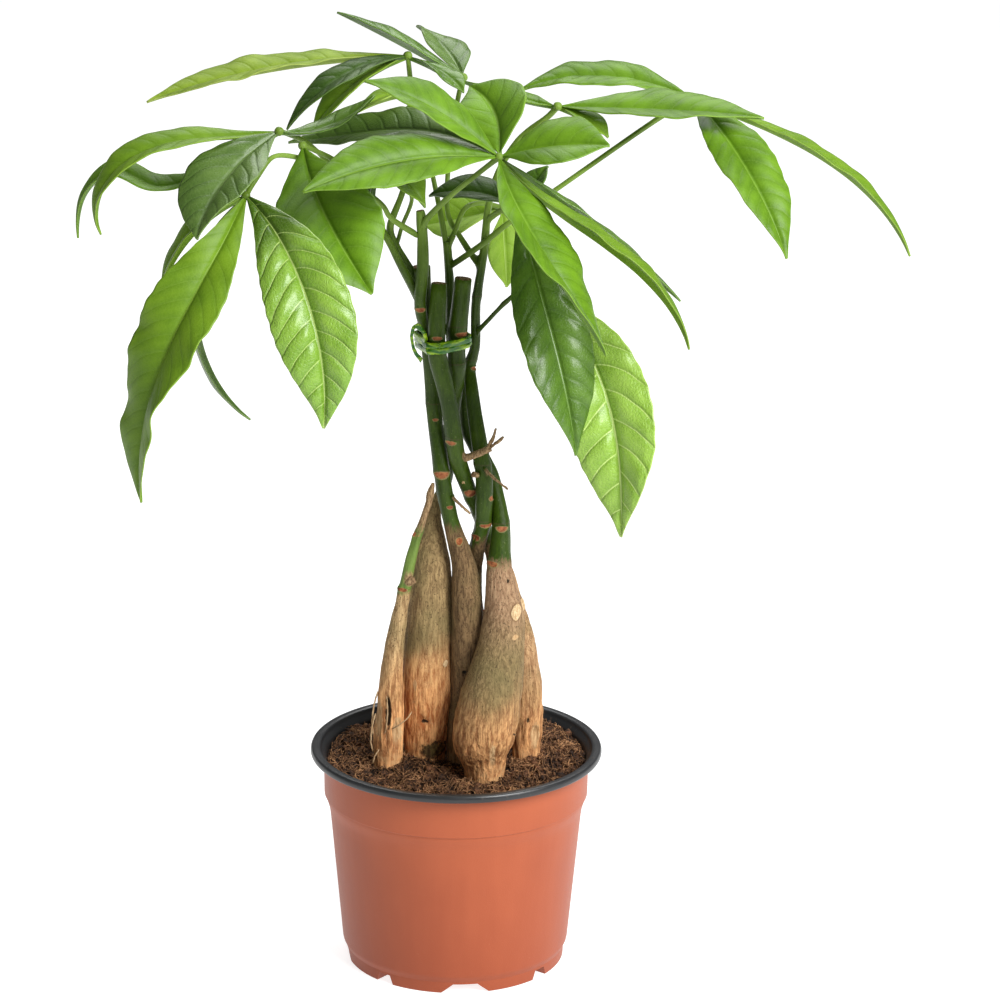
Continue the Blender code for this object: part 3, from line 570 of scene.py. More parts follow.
def weather(piece, node):
    """Shape the surface: furrowed bark on the foot, scars and rings on the stem; and store what colours it."""
    bark_top, rust_top, fuller, rings, marks = TRUNKS[node]
    mesh = piece.data
    build = bmesh.new()
    build.from_mesh(mesh)
    woody = {v for v in build.verts if v.co.z < (bark_top + 4) * MM and v.co.z > 78 * MM}
    marked = find_marks(mesh, marks)
    near_mark = {v for v in build.verts for _, spot, _, wide, high in marked
                 if (v.co / MM - spot).length < max(wide, high) * 1.5 + 1.5}
    chosen = woody | near_mark
    bmesh.ops.subdivide_edges(build, edges=[e for e in build.edges if e.verts[0] in chosen and e.verts[1] in chosen],
                              cuts=1, use_grid_fill=True)
    build.to_mesh(mesh)
    build.free()
    mesh.update()
    count = len(mesh.vertices)
    stored = {"furrow": np.full(count, 0.5, np.float32), "dry": np.zeros(count, np.float32)}
    for tone, axis in itertools.product(MARK_TONES, ("across", "up")):
        stored[f"{tone}_{axis}"] = np.full(count, FAR, np.float32)
        stored[f"{tone}_far"] = np.ones(count, np.float32)
    shift = Vector((sum(ord(letter) for letter in node) % 97, 0, 0))
    moved = []
    for index, vert in enumerate(mesh.vertices):
        place, way, height = vert.co / MM, vert.normal, vert.co.z / MM
        wood = 1 - float(ramp(height + 6 * noise.noise(place * 0.12 + shift), bark_top - 5, bark_top + 3))
        rust = 1 - float(ramp(height + 5 * noise.noise(place * 0.2 + shift), rust_top - 12, rust_top + 10))
        grow = 0.05 * noise.noise(place * 0.35)
        if wood > 0:
            drawn = Vector((place.x, place.y, place.z * 0.12)) + shift
            bent = drawn + Vector((noise.noise(place * 0.16), noise.noise(place * 0.16 + Vector((9, 9, 9))), 0)) * 1.1
            streak = noise.fractal(bent * 0.75, 0.7, 2.1, 4)
            split = noise.fractal(Vector((bent.x * 0.5, bent.y * 0.5, place.z * 0.06)), 0.8, 2.0, 3)
            crack = 1 - min(abs(split) * 3.2, 1)
            grow += wood * (0.15 * streak + 0.36 * noise.noise(place * 0.14 + shift)
                            + 0.10 * noise.noise(place * 0.5 + shift))
            grow += fuller * (1 - float(ramp(height, *FULL_TO)))
            grow += rust * (0.22 * streak + 0.36 * noise.noise(Vector((place.x, place.y, place.z * 0.3)) * 0.5 + shift)
                            - 0.42 * crack ** 4)
            stored["furrow"][index] = 0.5 + streak * 0.6 - crack ** 4 * 0.4 * rust
        for ring in rings:
            grow += 0.24 * math.exp(-((height - ring) / 1.5) ** 2)
        for start, end, around in DRY.get(node, ()):
            line = Vector(end) - Vector(start)
            along = min(max((place - Vector(start)).dot(line) / line.length_squared, 0), 1)
            gap = (place - Vector(start) - line * along).length
            dry = 1 - float(ramp(gap, around, around + 0.8))
            stored["dry"][index] = max(stored["dry"][index], dry)
            grow += dry * 0.22 * noise.noise(place * 1.1 + shift)
        for kind, spot, sideways, wide, high in marked:
            aside = place - spot
            if aside.length > 1.5 * max(wide, high) + 0.5:
                continue
            across, up = aside.dot(sideways) / wide, aside.z / high
            reach = mark_reach(kind, across, up)
            pit, rim_height, tone = MARKS[kind]
            grow += rim_height * math.exp(-((reach - 1.05) / 0.28) ** 2) - pit * (1 - float(ramp(reach, 0.65, 1.05)))
            near_across, near_up, far = (stored[tone + part] for part in ("_across", "_up", "_far"))
            if reach < math.hypot(near_across[index], near_up[index]):
                near_across[index], near_up[index], far[index] = across, up, 0
        moved.append(vert.co + way * grow * MM)
    mesh.vertices.foreach_set("co", np.array(moved).ravel())
    for name, values in stored.items():
        mesh.attributes.new(name, "FLOAT", "POINT").data.foreach_set("value", values)
    smooth(mesh)
    mesh.update()


def bark_finish(name, green_from, rust_to, blush_from, wood, rust, stem, rings):
    """Green skin above, finely lined bark below it, rusty at the foot, where pale wood shows in torn places."""
    finish = Finish(name, Specular_IOR_Level=0.22)
    height = finish.place.height() * 1000
    wide = finish.place.noise(55, 3)
    grain = finish.place.noise(1250, 3, 0.62, drawn=0.11)
    wavy = finish.place.noise(2300, 2, 0.6, drawn=0.3)
    spots = finish.place.noise(420, 4, 0.65)
    specks = finish.place.noise(1700, 1, drawn=0.6)
    furrow, dry = finish.read("furrow"), finish.read("dry")

    def mark(tone, wobble):
        """How far out from the middle of the nearest mark, squared, with an uneven outline."""
        across, up = finish.read(tone + "_across"), finish.read(tone + "_up")
        if tone == "scar":
            up = (up * SCAR_TOP).maths("MAXIMUM", up * SCAR_TOP, up * -1)
        return across * across + up * up + (spots - 0.5) * wobble + finish.read(tone + "_far") * 100

    scar, pale, shade = mark("scar", 0.9), mark("pale", 1.2), mark("shade", 2.0)
    moss, raw = mark("moss", 5.0), mark("raw", 3.0) + (grain - 0.5) * 3.0
    edge = height + wide * 26 - 13 + grain * 9 - 4.5
    woody = edge.rise(green_from + 2.5, green_from - 2.5)
    rusty = edge.rise(rust_to + 24, rust_to - 20)
    torn = edge.rise(97, 84)
    lines = grain * 0.62 + wavy * 0.26 + furrow * 0.12
    bark = lines.rise(0.36, 0.66).mix(*wood)
    bark = (wide.rise(0.40, 0.72) * 0.55).mix(bark, MOSSY_BARK)
    bark = (edge.rise(blush_from - 6, blush_from + 16) * 0.62).mix(bark, lines.rise(0.3, 0.7).mix(*BLUSH))
    bark = (specks.rise(0.62, 0.69) * 0.75).mix(bark, PORE_BROWN)
    foot = (lines * 0.85 + furrow * 0.15).rise(0.35, 0.67).mix(*rust)
    foot = (spots.rise(0.56, 0.68) * 0.4).mix(foot, (0.52, 0.30, 0.14))
    foot = (torn * spots.rise(0.35, 0.6) * 0.7).mix(foot, (0.62, 0.37, 0.17))
    skin = (wide * 0.55 + wavy * 0.25 + grain * 0.3).rise(0.35, 0.8).mix(*stem)
    skin = (height.rise(284, 318) * 0.95).mix(skin, wide.rise(0.3, 0.7).mix(*LEAF_STALK))
    skin = (specks.rise(0.70, 0.76) * 0.45).mix(skin, (0.20, 0.22, 0.09))
    for ring in rings:
        skin = (abs(height + wide * 2.4 - 1.2 - ring).rise(0.40, 0.12) * 0.55).mix(skin, (0.060, 0.050, 0.016))
    colour = woody.mix(skin, rusty.mix(bark, foot))
    colour = dry.mix(colour, (wavy * 0.6 + grain * 0.4).rise(0.36, 0.66).mix(*DRY_WOOD))
    colour = (scar.rise(1.7, 1.25) * 0.8).mix(colour, SCAR_RIM)
    colour = scar.rise(1.05, 0.8).mix(colour, spots.rise(0.35, 0.65).mix(*SCAR_RED))
    colour = (raw.rise(1.5, 0.4) * 0.85).mix(colour, grain.rise(0.3, 0.7).mix(*RAW_WOOD))
    colour = (moss.rise(1.7, 0.5) * 0.9).mix(colour, spots.rise(0.40, 0.64).mix(*MOSS))
    colour = (pale.rise(1.5, 1.2) * 0.7).mix(colour, KNOB_RIM)
    colour = pale.rise(1.1, 0.85).mix(colour, wavy.rise(0.35, 0.65).mix(*KNOB_WOOD))
    # Slits get painted shade: near-black where the hollow lies in shadow.
    colour = (shade.rise(1.3, 0.6) * 0.92).mix(colour, SLIT_PAINTED_SHADE)
    finish.feed(Base_Color=colour,
                Roughness=0.36 + woody * 0.36 + scar.rise(1.6, 1.0) * 0.25 + dry * 0.35 + spots * 0.1)
    finish.relief(woody * (grain * 0.5 + wavy * 0.3) + specks * 0.15 + wavy * 0.08, 0.0009)
    return finish.material


GREY_BARK = ((0.17, 0.105, 0.045), (0.40, 0.275, 0.125))
OLIVE_BARK = ((0.125, 0.080, 0.034), (0.32, 0.220, 0.100))
BROWN_BARK = ((0.085, 0.048, 0.021), (0.235, 0.145, 0.066))
TAN_BARK = ((0.24, 0.145, 0.062), (0.56, 0.385, 0.190))
RED_BARK = ((0.225, 0.118, 0.052), (0.500, 0.310, 0.155))
MOSSY_BARK = (0.155, 0.130, 0.050)
BLUSH = ((0.25, 0.125, 0.068), (0.48, 0.300, 0.185))
RUSTY_FOOT = ((0.31, 0.115, 0.040), (0.90, 0.465, 0.190))
# The left trunk's foot is brighter: partly its own paler rust, partly painted light against the shadow that the front
# trunk casts on it.
RUSTY_FOOT_PAINTED_BRIGHT = ((0.42, 0.135, 0.040), (0.98, 0.500, 0.200))
STEM_GREEN = ((0.018, 0.040, 0.001), (0.058, 0.108, 0.004))
FRESH_GREEN = ((0.085, 0.140, 0.022), (0.190, 0.280, 0.058))
LEAF_STALK = ((0.095, 0.165, 0.014), (0.195, 0.310, 0.045))
DRY_WOOD = ((0.13, 0.075, 0.034), (0.42, 0.28, 0.145))
RAW_WOOD = ((0.40, 0.225, 0.095), (0.72, 0.50, 0.27))
KNOB_WOOD = ((0.42, 0.27, 0.13), (0.68, 0.50, 0.29))
CUT_WOOD = ((0.10, 0.055, 0.025), (0.30, 0.19, 0.10))
SCAR_RED = ((0.19, 0.050, 0.018), (0.42, 0.155, 0.062))
MOSS = ((0.020, 0.017, 0.007), (0.130, 0.105, 0.030))
SCAR_RIM, KNOB_RIM = (0.27, 0.21, 0.085), (0.16, 0.085, 0.035)
# Pore brown is the lenticels' own colour; the slit colour is painted shade for their hollows.
PORE_BROWN, SLIT_PAINTED_SHADE = (0.050, 0.027, 0.013), (0.018, 0.014, 0.008)
ABOVE_ALL = 999
# Each trunk's colours: the heights where green starts, rust ends and a blush starts; its bark, foot and stem.
BARK = {
    "trunk_left_thin": (160, 122, ABOVE_ALL, TAN_BARK, RUSTY_FOOT, FRESH_GREEN),
    "trunk_left": (203, 124, ABOVE_ALL, GREY_BARK, RUSTY_FOOT_PAINTED_BRIGHT, STEM_GREEN),
    "trunk_middle": (187, 90, ABOVE_ALL, BROWN_BARK, RUSTY_FOOT, STEM_GREEN),
    "trunk_front": (171, 108, 142, OLIVE_BARK, RUSTY_FOOT, STEM_GREEN),
    "trunk_right": (176, 108, ABOVE_ALL, RED_BARK, RUSTY_FOOT, STEM_GREEN),
    "trunk_back": (180, 118, ABOVE_ALL, BROWN_BARK, RUSTY_FOOT, STEM_GREEN),
}
# The sawn ends are brown, dried wood.
sawn = Finish("stem_cut", Specular_IOR_Level=0.2)
spots = sawn.place.noise(900, 4, 0.7)
sawn.feed(Base_Color=spots.rise(0.35, 0.65).mix(*CUT_WOOD), Roughness=0.7 + spots * 0.2)
sawn.relief(spots, 0.0008)
for node in TRUNKS:
    trunk, ends = rounded_copy(node, node + "_grown", 2)
    weather(trunk, node)
    trunk.data.materials.append(bark_finish(node + "_bark", *BARK[node], TRUNKS[node][3]))
    trunk.data.materials.append(sawn.material)
    for face in trunk.data.polygons:
        for centre, way, radius in ends:
            if radius > 1.0 * MM and (face.center - centre).length < radius * 0.93 and face.normal.dot(way) > 0.6:
                face.material_index = 1
    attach(trunk, "root")
    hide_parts(node)

# Strips of bark that have sprung off the thin trunk's torn foot: (x, y, z) along each, and its half width.
SPLINTERS = (
    ([(-18.2, -12.4, 110.5), (-20.2, -14.2, 108), (-23.6, -14.4, 105.2), (-26.4, -12.6, 103)], 0.30),
    ([(-32.3, -9, 118), (-33.9, -9, 112), (-34.7, -9.4, 105), (-34.2, -9.6, 99)], 0.36),
    ([(-33.2, -10.8, 109), (-34.8, -11.2, 103), (-35.2, -11, 96.5), (-34.2, -10.6, 92)], 0.34),
    ([(-28.6, -12.2, 117), (-28.1, -12.9, 111), (-28.6, -12.7, 105), (-29.4, -12.1, 100.5)], 0.26),
    ([(-31.6, -10.8, 93.5), (-33.6, -11.8, 90.5), (-34.3, -12.2, 87.5)], 0.30),
)
build = bmesh.new()
for line, half_width in SPLINTERS:
    corners = [Vector(point) for point in line]
    path = []
    for low, high in zip(corners, corners[1:]):
        path += [low.lerp(high, step / 4) + Vector((0.12, 0, 0)) * (step % 2) for step in range(4)]
    strand(build, path + corners[-1:], half_width, 6)
splinters = piece_of("bark_splinters", build)
smooth(splinters.data)
torn_bark = Finish("torn_bark", Specular_IOR_Level=0.25)
fibres = torn_bark.place.noise(1800, 3, drawn=0.15)
torn_bark.feed(Base_Color=fibres.rise(0.3, 0.7).mix((0.27, 0.15, 0.065), (0.58, 0.41, 0.23)),
               Roughness=0.7 + fibres * 0.2)
torn_bark.relief(fibres, 0.0004)
splinters.data.materials.append(torn_bark.material)
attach(splinters, "root")

# ---------------- tie
# A strip of thin green plastic, wound a little over twice round the stems above the braid and
# twisted off at the left, where its end hangs down. It is crumpled and shiny.
tie, _ = rounded_copy("tie", "tie_wound", 2)
for vert in tie.data.vertices:
    place, way = vert.co / MM, vert.normal
    crumple = noise.noise(place * 0.55) * 0.34 + noise.noise(Vector((place.x, place.y, place.z * 2.5)) * 1.3) * 0.16
    level = abs(way.z)
    vert.co += (way * (crumple - 0.22 * (1 - level)) + Vector((0, 0, 0.62 * way.z))) * MM
smooth(tie.data)
film = Finish("tie_film", Specular_IOR_Level=0.32, Coat_Weight=0.2, Coat_Roughness=0.1)
crease = film.place.noise(330, 2, drawn=(0.45, 0.45, 2.0))
shine = film.place.noise(160, 2, drawn=3)
# Painted highlights: the green runs from dark to yellow-green along the crease and shine noise, besides the film's
# real gloss.
film.feed(Base_Color=(shine * 0.3 + crease * 0.7).rise(0.40, 0.70).mix((0.014, 0.115, 0.003), (0.34, 0.52, 0.010)),
          Roughness=0.12 + crease * 0.15)
film.relief(crease, 0.0006)
tie.data.materials.append(film.material)
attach(tie, "root")
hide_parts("tie")

# ---------------- leaflets
# Leathery blades in fans of five or six at the stalks' ends: thin, a little folded along the
# midrib, with side veins that sink in above and stand out below, and wavy margins.
STATIONS = np.array((0, 0.14, 0.32, 0.5, 0.68, 0.84, 0.95, 1))      # where the solid's cross-sections are
PATTERN = 4                 # the cross-section whose order of corners the others follow
BLADE = 0.45 * MM
ROOT_REACH = 1.6 * MM       # a leaflet's stalk end reaches this much further, into the knob that it grows on
VEIN_SPACING = 7.6          # from one side vein to the next, and the same on the leaflets whose veins stand out
WIDE_VEINS = {"leaf_n1": 11.0, "leaf_b1": 9.0, "leaf_e2": 8.4}
# Leaflets whose tips don't turn edge-on: the cross-section, and how wide it gets.
FACING_TIPS = {"leaf_e1": ((5, 1.3), (6, 1.3))}
CORNER_ORDERS = np.array(list(itertools.permutations(range(6))))
FIRST_SEED = 100            # the first leaflet's; the others count on from it
norm = np.linalg.norm


def blade_rings(node, stems):
    """A leaflet solid's eight cross-sections: its midrib, right and left margins and the way up, base first."""
    build = bmesh.new()
    build.from_mesh(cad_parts[node].data)
    bmesh.ops.remove_doubles(build, verts=build.verts, dist=MERGE)
    build.verts.ensure_lookup_table()
    places = np.array([v.co for v in build.verts])
    gaps = norm(places[:, None] - places[None], axis=2)
    tight = int(np.sort(gaps, axis=1)[:, 5].argmin())
    ring, seen, rings = set(np.argsort(gaps[tight])[:6].tolist()), set(), []
    while ring:
        rings.append(sorted(ring))
        seen |= ring
        ring = {e.other_vert(build.verts[i]).index for i in ring for e in build.verts[i].link_edges} - seen
    if stems.find(places[rings[0]].mean(axis=0))[2] > stems.find(places[rings[-1]].mean(axis=0))[2]:
        rings.reverse()
    wide = rings[PATTERN]
    loop = [wide[0]]
    while len(loop) < 6:
        loop.append(next(e.other_vert(build.verts[loop[-1]]).index for e in build.verts[loop[-1]].link_edges
                         if e.other_vert(build.verts[loop[-1]]).index in set(wide) - set(loop)))
    build.free()
    shortest = min(range(3), key=lambda k: gaps[loop[k], loop[(k + 1) % 6]] + gaps[loop[k + 3], loop[(k + 4) % 6]])
    loop = [loop[(k + shortest + 1) % 6] for k in range(6)]
    ordered = {PATTERN: places[loop]}
    for ring, known in ((3, 4), (2, 3), (1, 2), (0, 1), (5, 4), (6, 5), (7, 6)):
        corners = places[rings[ring]]
        offsets = corners - corners.mean(axis=0)
        wanted = ordered[known] - ordered[known].mean(axis=0)
        fits = (offsets[CORNER_ORDERS] * wanted).sum(axis=(1, 2))
        ordered[ring] = corners[CORNER_ORDERS[fits.argmax()]]
    right_top, top, left_top, left_low, low, right_low = (
        np.array([ordered[k][corner] for k in range(8)]) for corner in range(6))
    rib, right, left, up = (top + low) / 2, (right_top + right_low) / 2, (left_top + left_low) / 2, top - low
    if ((right + left - 2 * rib) * up).sum() < 0:
        up = -up
    if (np.cross(right - left, rib[-1] - rib[0]) * up).sum() < 0:
        right, left = left, right
    return rib, right, left, up


def through(values, at):
    """A smooth curve through the values at the stations, read at the given shares of the length."""
    slopes = np.gradient(values, STATIONS, axis=0)
    i = np.clip(np.searchsorted(STATIONS, at, side="right") - 1, 0, len(STATIONS) - 2)
    step = (STATIONS[i + 1] - STATIONS[i])[:, None]
    t = (at[:, None] - STATIONS[i][:, None]) / step
    return (values[i] * (2 * t ** 3 - 3 * t ** 2 + 1) + slopes[i] * step * (t ** 3 - 2 * t ** 2 + t)
            + values[i + 1] * (3 * t ** 2 - 2 * t ** 3) + slopes[i + 1] * step * (t ** 3 - t ** 2))


def make_blade(node, seed, pucker, wave, crown=0.08, curl=0.0):
    """One leaflet with its own folds: pucker between the veins and wave at the margins are in millimetres."""
    rib, right, left, up = blade_rings(node, stem_places)
    rib[0] -= (rib[1] - rib[0]) / norm(rib[1] - rib[0]) * ROOT_REACH
    for ring, keep in FACING_TIPS.get(node, ()):
        along = (rib[ring + 1] - rib[ring - 1]) / norm(rib[ring + 1] - rib[ring - 1])
        for margin in (right, left):
            way = margin[PATTERN] - rib[PATTERN]
            way = way - along * (way @ along)
            margin[ring] = rib[ring] + way / norm(way) * norm(margin[ring] - rib[ring]) * keep
        up[ring] = up[PATTERN]
    length = norm(np.diff(rib, axis=0), axis=1).sum()
    width = norm(right - left, axis=1).max()
    rows, columns = int(length / (1.0 * MM)), 2 * max(4, int(width / (1.9 * MM)))
    bpy.ops.mesh.primitive_grid_add(x_subdivisions=rows, y_subdivisions=columns, size=2)
    blade = bpy.context.object
    blade.name = node + "_blade"
    mesh = blade.data
    flat = np.empty(len(mesh.vertices) * 3)
    mesh.vertices.foreach_get("co", flat)
    share, across = flat.reshape(-1, 3)[:, 0] / 2 + 0.5, flat.reshape(-1, 3)[:, 1]
    share = share ** 1.04
    side, reach = np.where(across < 0, 1.0, -1.0), np.abs(across)
    edge = np.where((side > 0)[:, None], through(right - rib, share), through(left - rib, share))
    edge *= NARROWED.get(node, 1)
    half = norm(edge, axis=1)
    above = through(up, share)
    above /= norm(above, axis=1)[:, None]
    draw = random.Random(seed)
    turns = [draw.uniform(0, 6.28) for _ in range(8)]
    ends = np.sin(np.pi * np.clip(share, 0, 1)) ** 0.6
    lean = half * (0.50 * reach + 0.42 * reach ** 2)
    vein = ((share * length - lean) / (WIDE_VEINS.get(node, VEIN_SPACING) * MM) + np.where(side > 0, 0.0, 0.37)
            + 0.06 * np.sin(share * 23 + turns[0]))
    cell = vein - np.floor(vein)
    swell = np.sin(np.pi * cell) ** 0.7 * ramp(reach, 0.02, 0.25) * (1 - ramp(reach, 0.72, 0.97))
    uneven = (0.75 + 0.25 * np.sin(np.floor(vein) * 2.4 + side * 1.3 + turns[1])
              + 0.22 * np.sin(reach * half / (2.1 * MM) + np.floor(vein) * 1.9 + turns[6]))
    ripple = (np.sin(share * length / (17 * MM) * 2 * np.pi / 1.7 + turns[2] + side * turns[3])
              + 0.55 * np.sin(share * length / (9 * MM) * 2 * np.pi / 1.7 + turns[4] + side * turns[5]))
    lift = (half * (crown * np.sin(np.pi * reach ** 0.8) + curl * reach ** 3)
            + MM * ends * (pucker * swell * uneven + wave * ripple * reach ** 2.2 * np.minimum(half / (14 * MM), 1))
            - 0.30 * MM * np.exp(-(reach * half / (0.9 * MM)) ** 2))
    jag = 1 + 0.012 * np.sin(share * length / MM * 0.9 + side * turns[7]) * ends
    places = through(rib, share) + edge * (reach * jag)[:, None] + above * lift[:, None]
    mesh.vertices.foreach_set("co", places.ravel())
    for name, values in (("vein", vein), ("rib_gap", reach * half / MM), ("rim_gap", (1 - reach) * half / MM),
                         ("along", share * length / MM), ("across", side * reach * half / MM), ("share", share)):
        mesh.attributes.new(name, "FLOAT", "POINT").data.foreach_set("value", values.astype(np.float32))
    smooth(mesh)
    mesh.update()
    if sum((np.array(f.normal) @ above[f.vertices[0]]) for f in mesh.polygons) < 0:
        mesh.flip_normals()
    wall = blade.modifiers.new("wall", "SOLIDIFY")
    wall.thickness = BLADE
    wall.offset = 0
    wall.material_offset = 1
    wall.material_offset_rim = 0
    select_only(blade)
    bpy.ops.object.modifier_apply(modifier=wall.name)
    count = len(share)
    ridge = (np.exp(-(reach * half / (0.75 * MM)) ** 2) * (0.95 - 0.65 * share)
             + 0.13 * (1 - np.sin(np.pi * cell)) ** 6 * ramp(reach, 0.0, 0.2) * (1 - reach)) * MM
    shell = np.empty(len(mesh.vertices) * 3)
    mesh.vertices.foreach_get("co", shell)
    shell = shell.reshape(-1, 3)
    middle = (shell[:count] + shell[count:2 * count]) / 2
    under = slice(count, 2 * count) if ((shell[count:2 * count] - middle) * above).sum() < 0 else slice(0, count)
    shell[under] -= above * ridge[:, None]
    mesh.vertices.foreach_set("co", shell.ravel())
    mesh.update()
    return blade


def leaf_fields(finish):
    """What both faces share: a flat chart of the blade, the gaps to side veins, midrib and rim, and the fine net."""
    along, across, share, vein = (finish.read(a) for a in ("along", "across", "share", "vein"))
    chart = finish.place.node("CombineXYZ", {}, {0: along, 1: across, 2: share * 5})
    beside = abs(vein.maths("FRACT", vein + 0.5) - 0.5)
    net = finish.place.node("TexVoronoi", {"feature": "DISTANCE_TO_EDGE"}, {"Vector": chart, "Scale": 0.75})
    return chart, share, beside, finish.read("rib_gap"), finish.read("rim_gap"), net


def upper_finish(name, dark, light, vein_tone, gloss, coat, veins, relief, dark_base=0.0):
    """A leaf's upper face: blotched green, pale sunken veins with a fine net between them, a waxy gloss."""
    finish = Finish(name, Specular_IOR_Level=0.26, Coat_Weight=coat, Coat_Roughness=0.2)
    chart, share, beside, rib_gap, rim_gap, net = leaf_fields(finish)
    line = beside.rise(0.045, 0.0) * rim_gap.rise(0.3, 3.0)
    rib = rib_gap.rise(0.48, 0.14)
    blotch = chart.noise(0.055, 3, 0.55)
    fleck = chart.noise(0.9, 3, 0.6)
    tone = (blotch * 0.95 + fleck * 0.22 + beside * 0.35 - share * 0.06).rise(0.32, 0.98)
    colour = tone.mix(dark, light)
    if dark_base:
        colour = (share.rise(0.36, 0.20) * dark_base).mix(colour, BASE_GREEN)
    colour = (net.rise(0.10, 0.0) * 0.12).mix(colour, vein_tone)
    colour = (line * veins).mix(colour, vein_tone)
    colour = (rib * (0.3 + veins)).mix(colour, vein_tone)
    colour = (rim_gap.rise(0.42, 0.1) * 0.6).mix(colour, vein_tone)
    finish.feed(Base_Color=colour, Roughness=gloss + fleck * 0.10 + blotch * 0.06 + line * 0.08)
    finish.relief((beside.rise(0.0, 0.16) * 0.75 + net.rise(0.0, 0.22) * 0.22 + fleck * 0.1) * rib_gap.rise(0.5, 1.5),
                  0.00030 * relief)
    return finish.material


def lower_finish(name, dark, light, vein_tone):
    """A leaf's underside: paler and duller, with its veins standing out."""
    finish = Finish(name, Specular_IOR_Level=0.3)
    chart, _, beside, rib_gap, rim_gap, net = leaf_fields(finish)
    line = beside.rise(0.06, 0.0) * rim_gap.rise(0.3, 3.0)
    blotch = chart.noise(0.06, 3, 0.6)
    colour = blotch.rise(0.3, 0.7).mix(dark, light)
    colour = (net.rise(0.12, 0.0) * 0.25 + line * 0.5 + rib_gap.rise(1.1, 0.5) * 0.6).mix(colour, vein_tone)
    finish.feed(Base_Color=colour, Roughness=0.5 + blotch * 0.15)
    finish.relief(line * 0.6 + net.rise(0.25, 0.0) * 0.3, 0.00025)
    return finish.material


BASE_GREEN = (0.050, 0.115, 0.004)
# Each upper finish: dark and light green, the veins' tone, roughness, coat, how clear and how deep the veins are, and
# how dark the base of the blade is.
UPPER = {
    # The next finish is pale yellow-green: partly the young leaflets' own tone, partly painted back-light shining
    # through them.
    "fresh": ((0.190, 0.340, 0.018), (0.300, 0.480, 0.048), (0.45, 0.60, 0.15), 0.46, 0.0, 0.22, 0.5),
    "sallow": ((0.150, 0.245, 0.012), (0.270, 0.390, 0.036), (0.40, 0.48, 0.13), 0.44, 0.0, 0.15, 0.5),
    "glinting": ((0.175, 0.325, 0.026), (0.300, 0.490, 0.072), (0.52, 0.67, 0.21), 0.30, 0.35, 0.85, 1.6),
    "puckered": ((0.120, 0.250, 0.016), (0.230, 0.400, 0.045), (0.44, 0.58, 0.17), 0.30, 0.45, 0.8, 1.6, 0.9),
    "green": ((0.060, 0.142, 0.003), (0.132, 0.272, 0.009), (0.22, 0.37, 0.045), 0.40, 0.05, 0.22, 0.35),
    "olive": ((0.085, 0.178, 0.005), (0.152, 0.278, 0.011), (0.24, 0.37, 0.050), 0.42, 0.03, 0.18, 0.3),
    # The next finish is a dull grey-green: its grey is partly painted sheen, and its darkness partly painted shade on
    # leaflets behind others.
    "dusky": ((0.050, 0.105, 0.014), (0.110, 0.190, 0.036), (0.19, 0.29, 0.080), 0.34, 0.3, 0.20, 0.9),
    # The next finish is a darker green: b1's own tone, and painted shade on the other leaflets that wear it, which sit
    # in shade.
    "deep": ((0.045, 0.108, 0.007), (0.102, 0.205, 0.017), (0.15, 0.27, 0.040), 0.30, 0.35, 0.22, 0.9),
    # The next finish is painted shade: a near-black green for the leaflets that lie in the shadow of others (b3, g2,
    # k2).
    "darkest": ((0.016, 0.046, 0.003), (0.046, 0.100, 0.009), (0.10, 0.18, 0.030), 0.36, 0.1, 0.18, 0.6),
}
LOWER = {"pale": ((0.30, 0.45, 0.075), (0.40, 0.56, 0.11), (0.52, 0.66, 0.20)),
         "dull": ((0.13, 0.21, 0.035), (0.20, 0.30, 0.055), (0.30, 0.42, 0.10))}
above = {name: upper_finish("leaf_" + name, *tones) for name, tones in UPPER.items()}
below = {name: lower_finish("leaf_under_" + name, *tones) for name, tones in LOWER.items()}
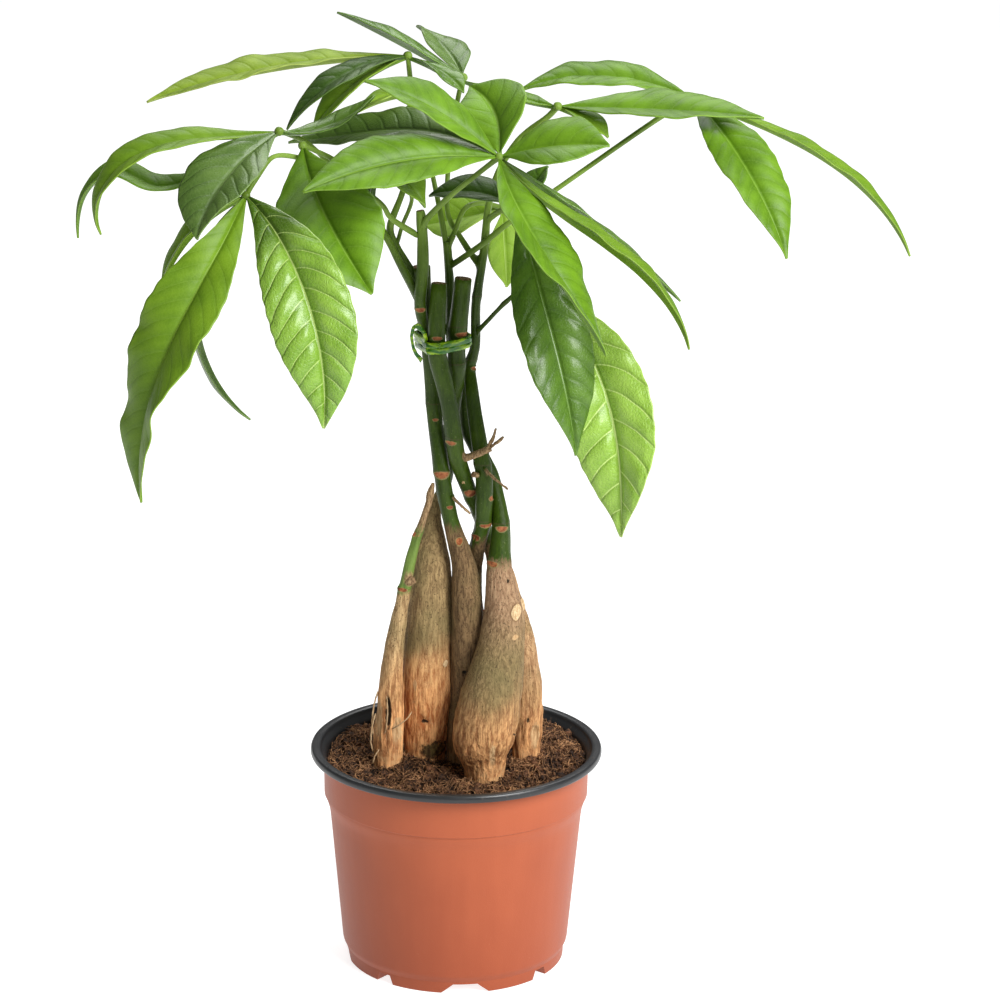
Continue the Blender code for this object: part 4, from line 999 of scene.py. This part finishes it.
# Each leaflet's upper and lower finish, pucker and wave, and its crown and curl where they aren't the usual ones.
LEAFLETS = {
    "leaf_a1": ("green", "pale", 0.24, 0.5, 0.10, -0.10), "leaf_a2": ("green", "pale", 0.16, 0.6),
    "leaf_a3": ("green", "pale", 0.15, 0.6), "leaf_a4": ("green", "pale", 0.08, 0.4, 0.10, -0.05),
    "leaf_a5": ("green", "pale", 0.14, 0.7), "leaf_a6": ("olive", "dull", 0.2, 0.5, 0.06),
    "leaf_a7": ("deep", "pale", 0.25, 0.6), "leaf_a8": ("dusky", "pale", 0.2, 0.6),
    "leaf_b1": ("deep", "pale", 0.45, 0.6, 0.10, -0.05), "leaf_b2": ("deep", "dull", 0.2, 0.5),
    "leaf_b3": ("darkest", "dull", 0.2, 0.5), "leaf_c1": ("green", "pale", 0.45, 0.7, 0.10, -0.05),
    "leaf_c2": ("green", "pale", 0.55, 0.7, 0.10), "leaf_c3": ("olive", "pale", 0.3, 0.6, 0.06),
    "leaf_d1": ("green", "pale", 0.3, 0.8), "leaf_d2": ("green", "pale", 0.2, 0.6),
    "leaf_d3": ("olive", "dull", 0.3, 0.6), "leaf_e1": ("olive", "pale", 0.14, 1.0),
    "leaf_e2": ("puckered", "pale", 1.25, 0.6, 0.08, -0.05), "leaf_e3": ("dusky", "dull", 0.2, 0.6, 0.06),
    "leaf_e4": ("olive", "dull", 0.2, 0.6), "leaf_f1": ("olive", "pale", 0.3, 0.6, 0.06),
    "leaf_f2": ("dusky", "dull", 0.45, 0.6), "leaf_f3": ("green", "pale", 0.3, 0.6, 0.06),
    "leaf_f4": ("deep", "dull", 0.3, 0.6, 0.06), "leaf_g1": ("sallow", "pale", 0.3, 0.7),
    "leaf_g2": ("darkest", "dull", 0.35, 0.5), "leaf_g3": ("olive", "dull", 0.3, 0.6),
    "leaf_g4": ("deep", "dull", 0.3, 0.6), "leaf_h1": ("deep", "dull", 0.3, 0.5, 0.05),
    "leaf_h2": ("dusky", "dull", 0.4, 0.6), "leaf_k1": ("olive", "pale", 0.3, 0.6),
    "leaf_k2": ("darkest", "dull", 0.3, 0.5), "leaf_l1": ("fresh", "pale", 0.2, 0.6),
    "leaf_l2": ("fresh", "pale", 0.2, 0.6), "leaf_n1": ("glinting", "pale", 1.15, 0.7),
    "leaf_o1": ("green", "pale", 0.14, 0.9, 0.10), "leaf_p1": ("fresh", "pale", 0.3, 0.6),
    "leaf_p2": ("fresh", "pale", 0.3, 0.6), "leaf_p3": ("fresh", "pale", 0.3, 0.6),
}
NARROWED = {"leaf_g2": 0.66}      # leaflets whose halves have folded together, and what is left of their width
stem_points = [v.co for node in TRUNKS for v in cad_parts[node].data.vertices]
stem_places = kdtree.KDTree(len(stem_points))
for index, place in enumerate(stem_points):
    stem_places.insert(place, index)
stem_places.balance()
for seed, (node, (upper, lower, *folds)) in enumerate(LEAFLETS.items(), FIRST_SEED):
    blade = make_blade(node, seed, *folds)
    blade.data.materials.append(above[upper])
    blade.data.materials.append(below[lower])
    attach(blade, "root")
    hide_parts(node)

# ---------------- floor and light
# A plain white floor that runs on past the view, so wide that its end never shows. A large soft
# lamp stands in front on the right, a weaker one behind the crown; a pale sky fills the shadows.
FLOOR_SIZE = 40
FLOOR_GREY, FLOOR_GLOW, SKY_GLOW = 0.45, 0.84, 0.16
# Each lamp: its place, what it aims at, its size and its power.
LAMPS = (((1.3, -1.35, 1.5), (0, 0, 0.2), 1.3, 82), ((0.1, 0.9, 1.6), (0, 0, 0.25), 1.2, 18))

bpy.ops.mesh.primitive_plane_add(size=FLOOR_SIZE)
floor = bpy.context.object
floor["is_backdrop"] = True
pale = Finish("floor_pale", Base_Color=(FLOOR_GREY, FLOOR_GREY, FLOOR_GREY, 1), Roughness=0.9,
              Specular_IOR_Level=0.1, Emission_Color=(1, 1, 1, 1), Emission_Strength=FLOOR_GLOW)
floor.data.materials.append(pale.material)
world = bpy.data.worlds.new("studio")
world.use_nodes = True
world.node_tree.nodes["Background"].inputs["Color"].default_value = (1, 1, 1, 1)
world.node_tree.nodes["Background"].inputs["Strength"].default_value = SKY_GLOW
bpy.context.scene.world = world
for place, aim, size, power in LAMPS:
    bpy.ops.object.light_add(type="AREA", location=place)
    lamp = bpy.context.object
    lamp.data.size = size
    lamp.data.energy = power
    lamp.rotation_euler = (Vector(aim) - Vector(place)).to_track_quat("-Z", "Y").to_euler()

low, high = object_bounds()
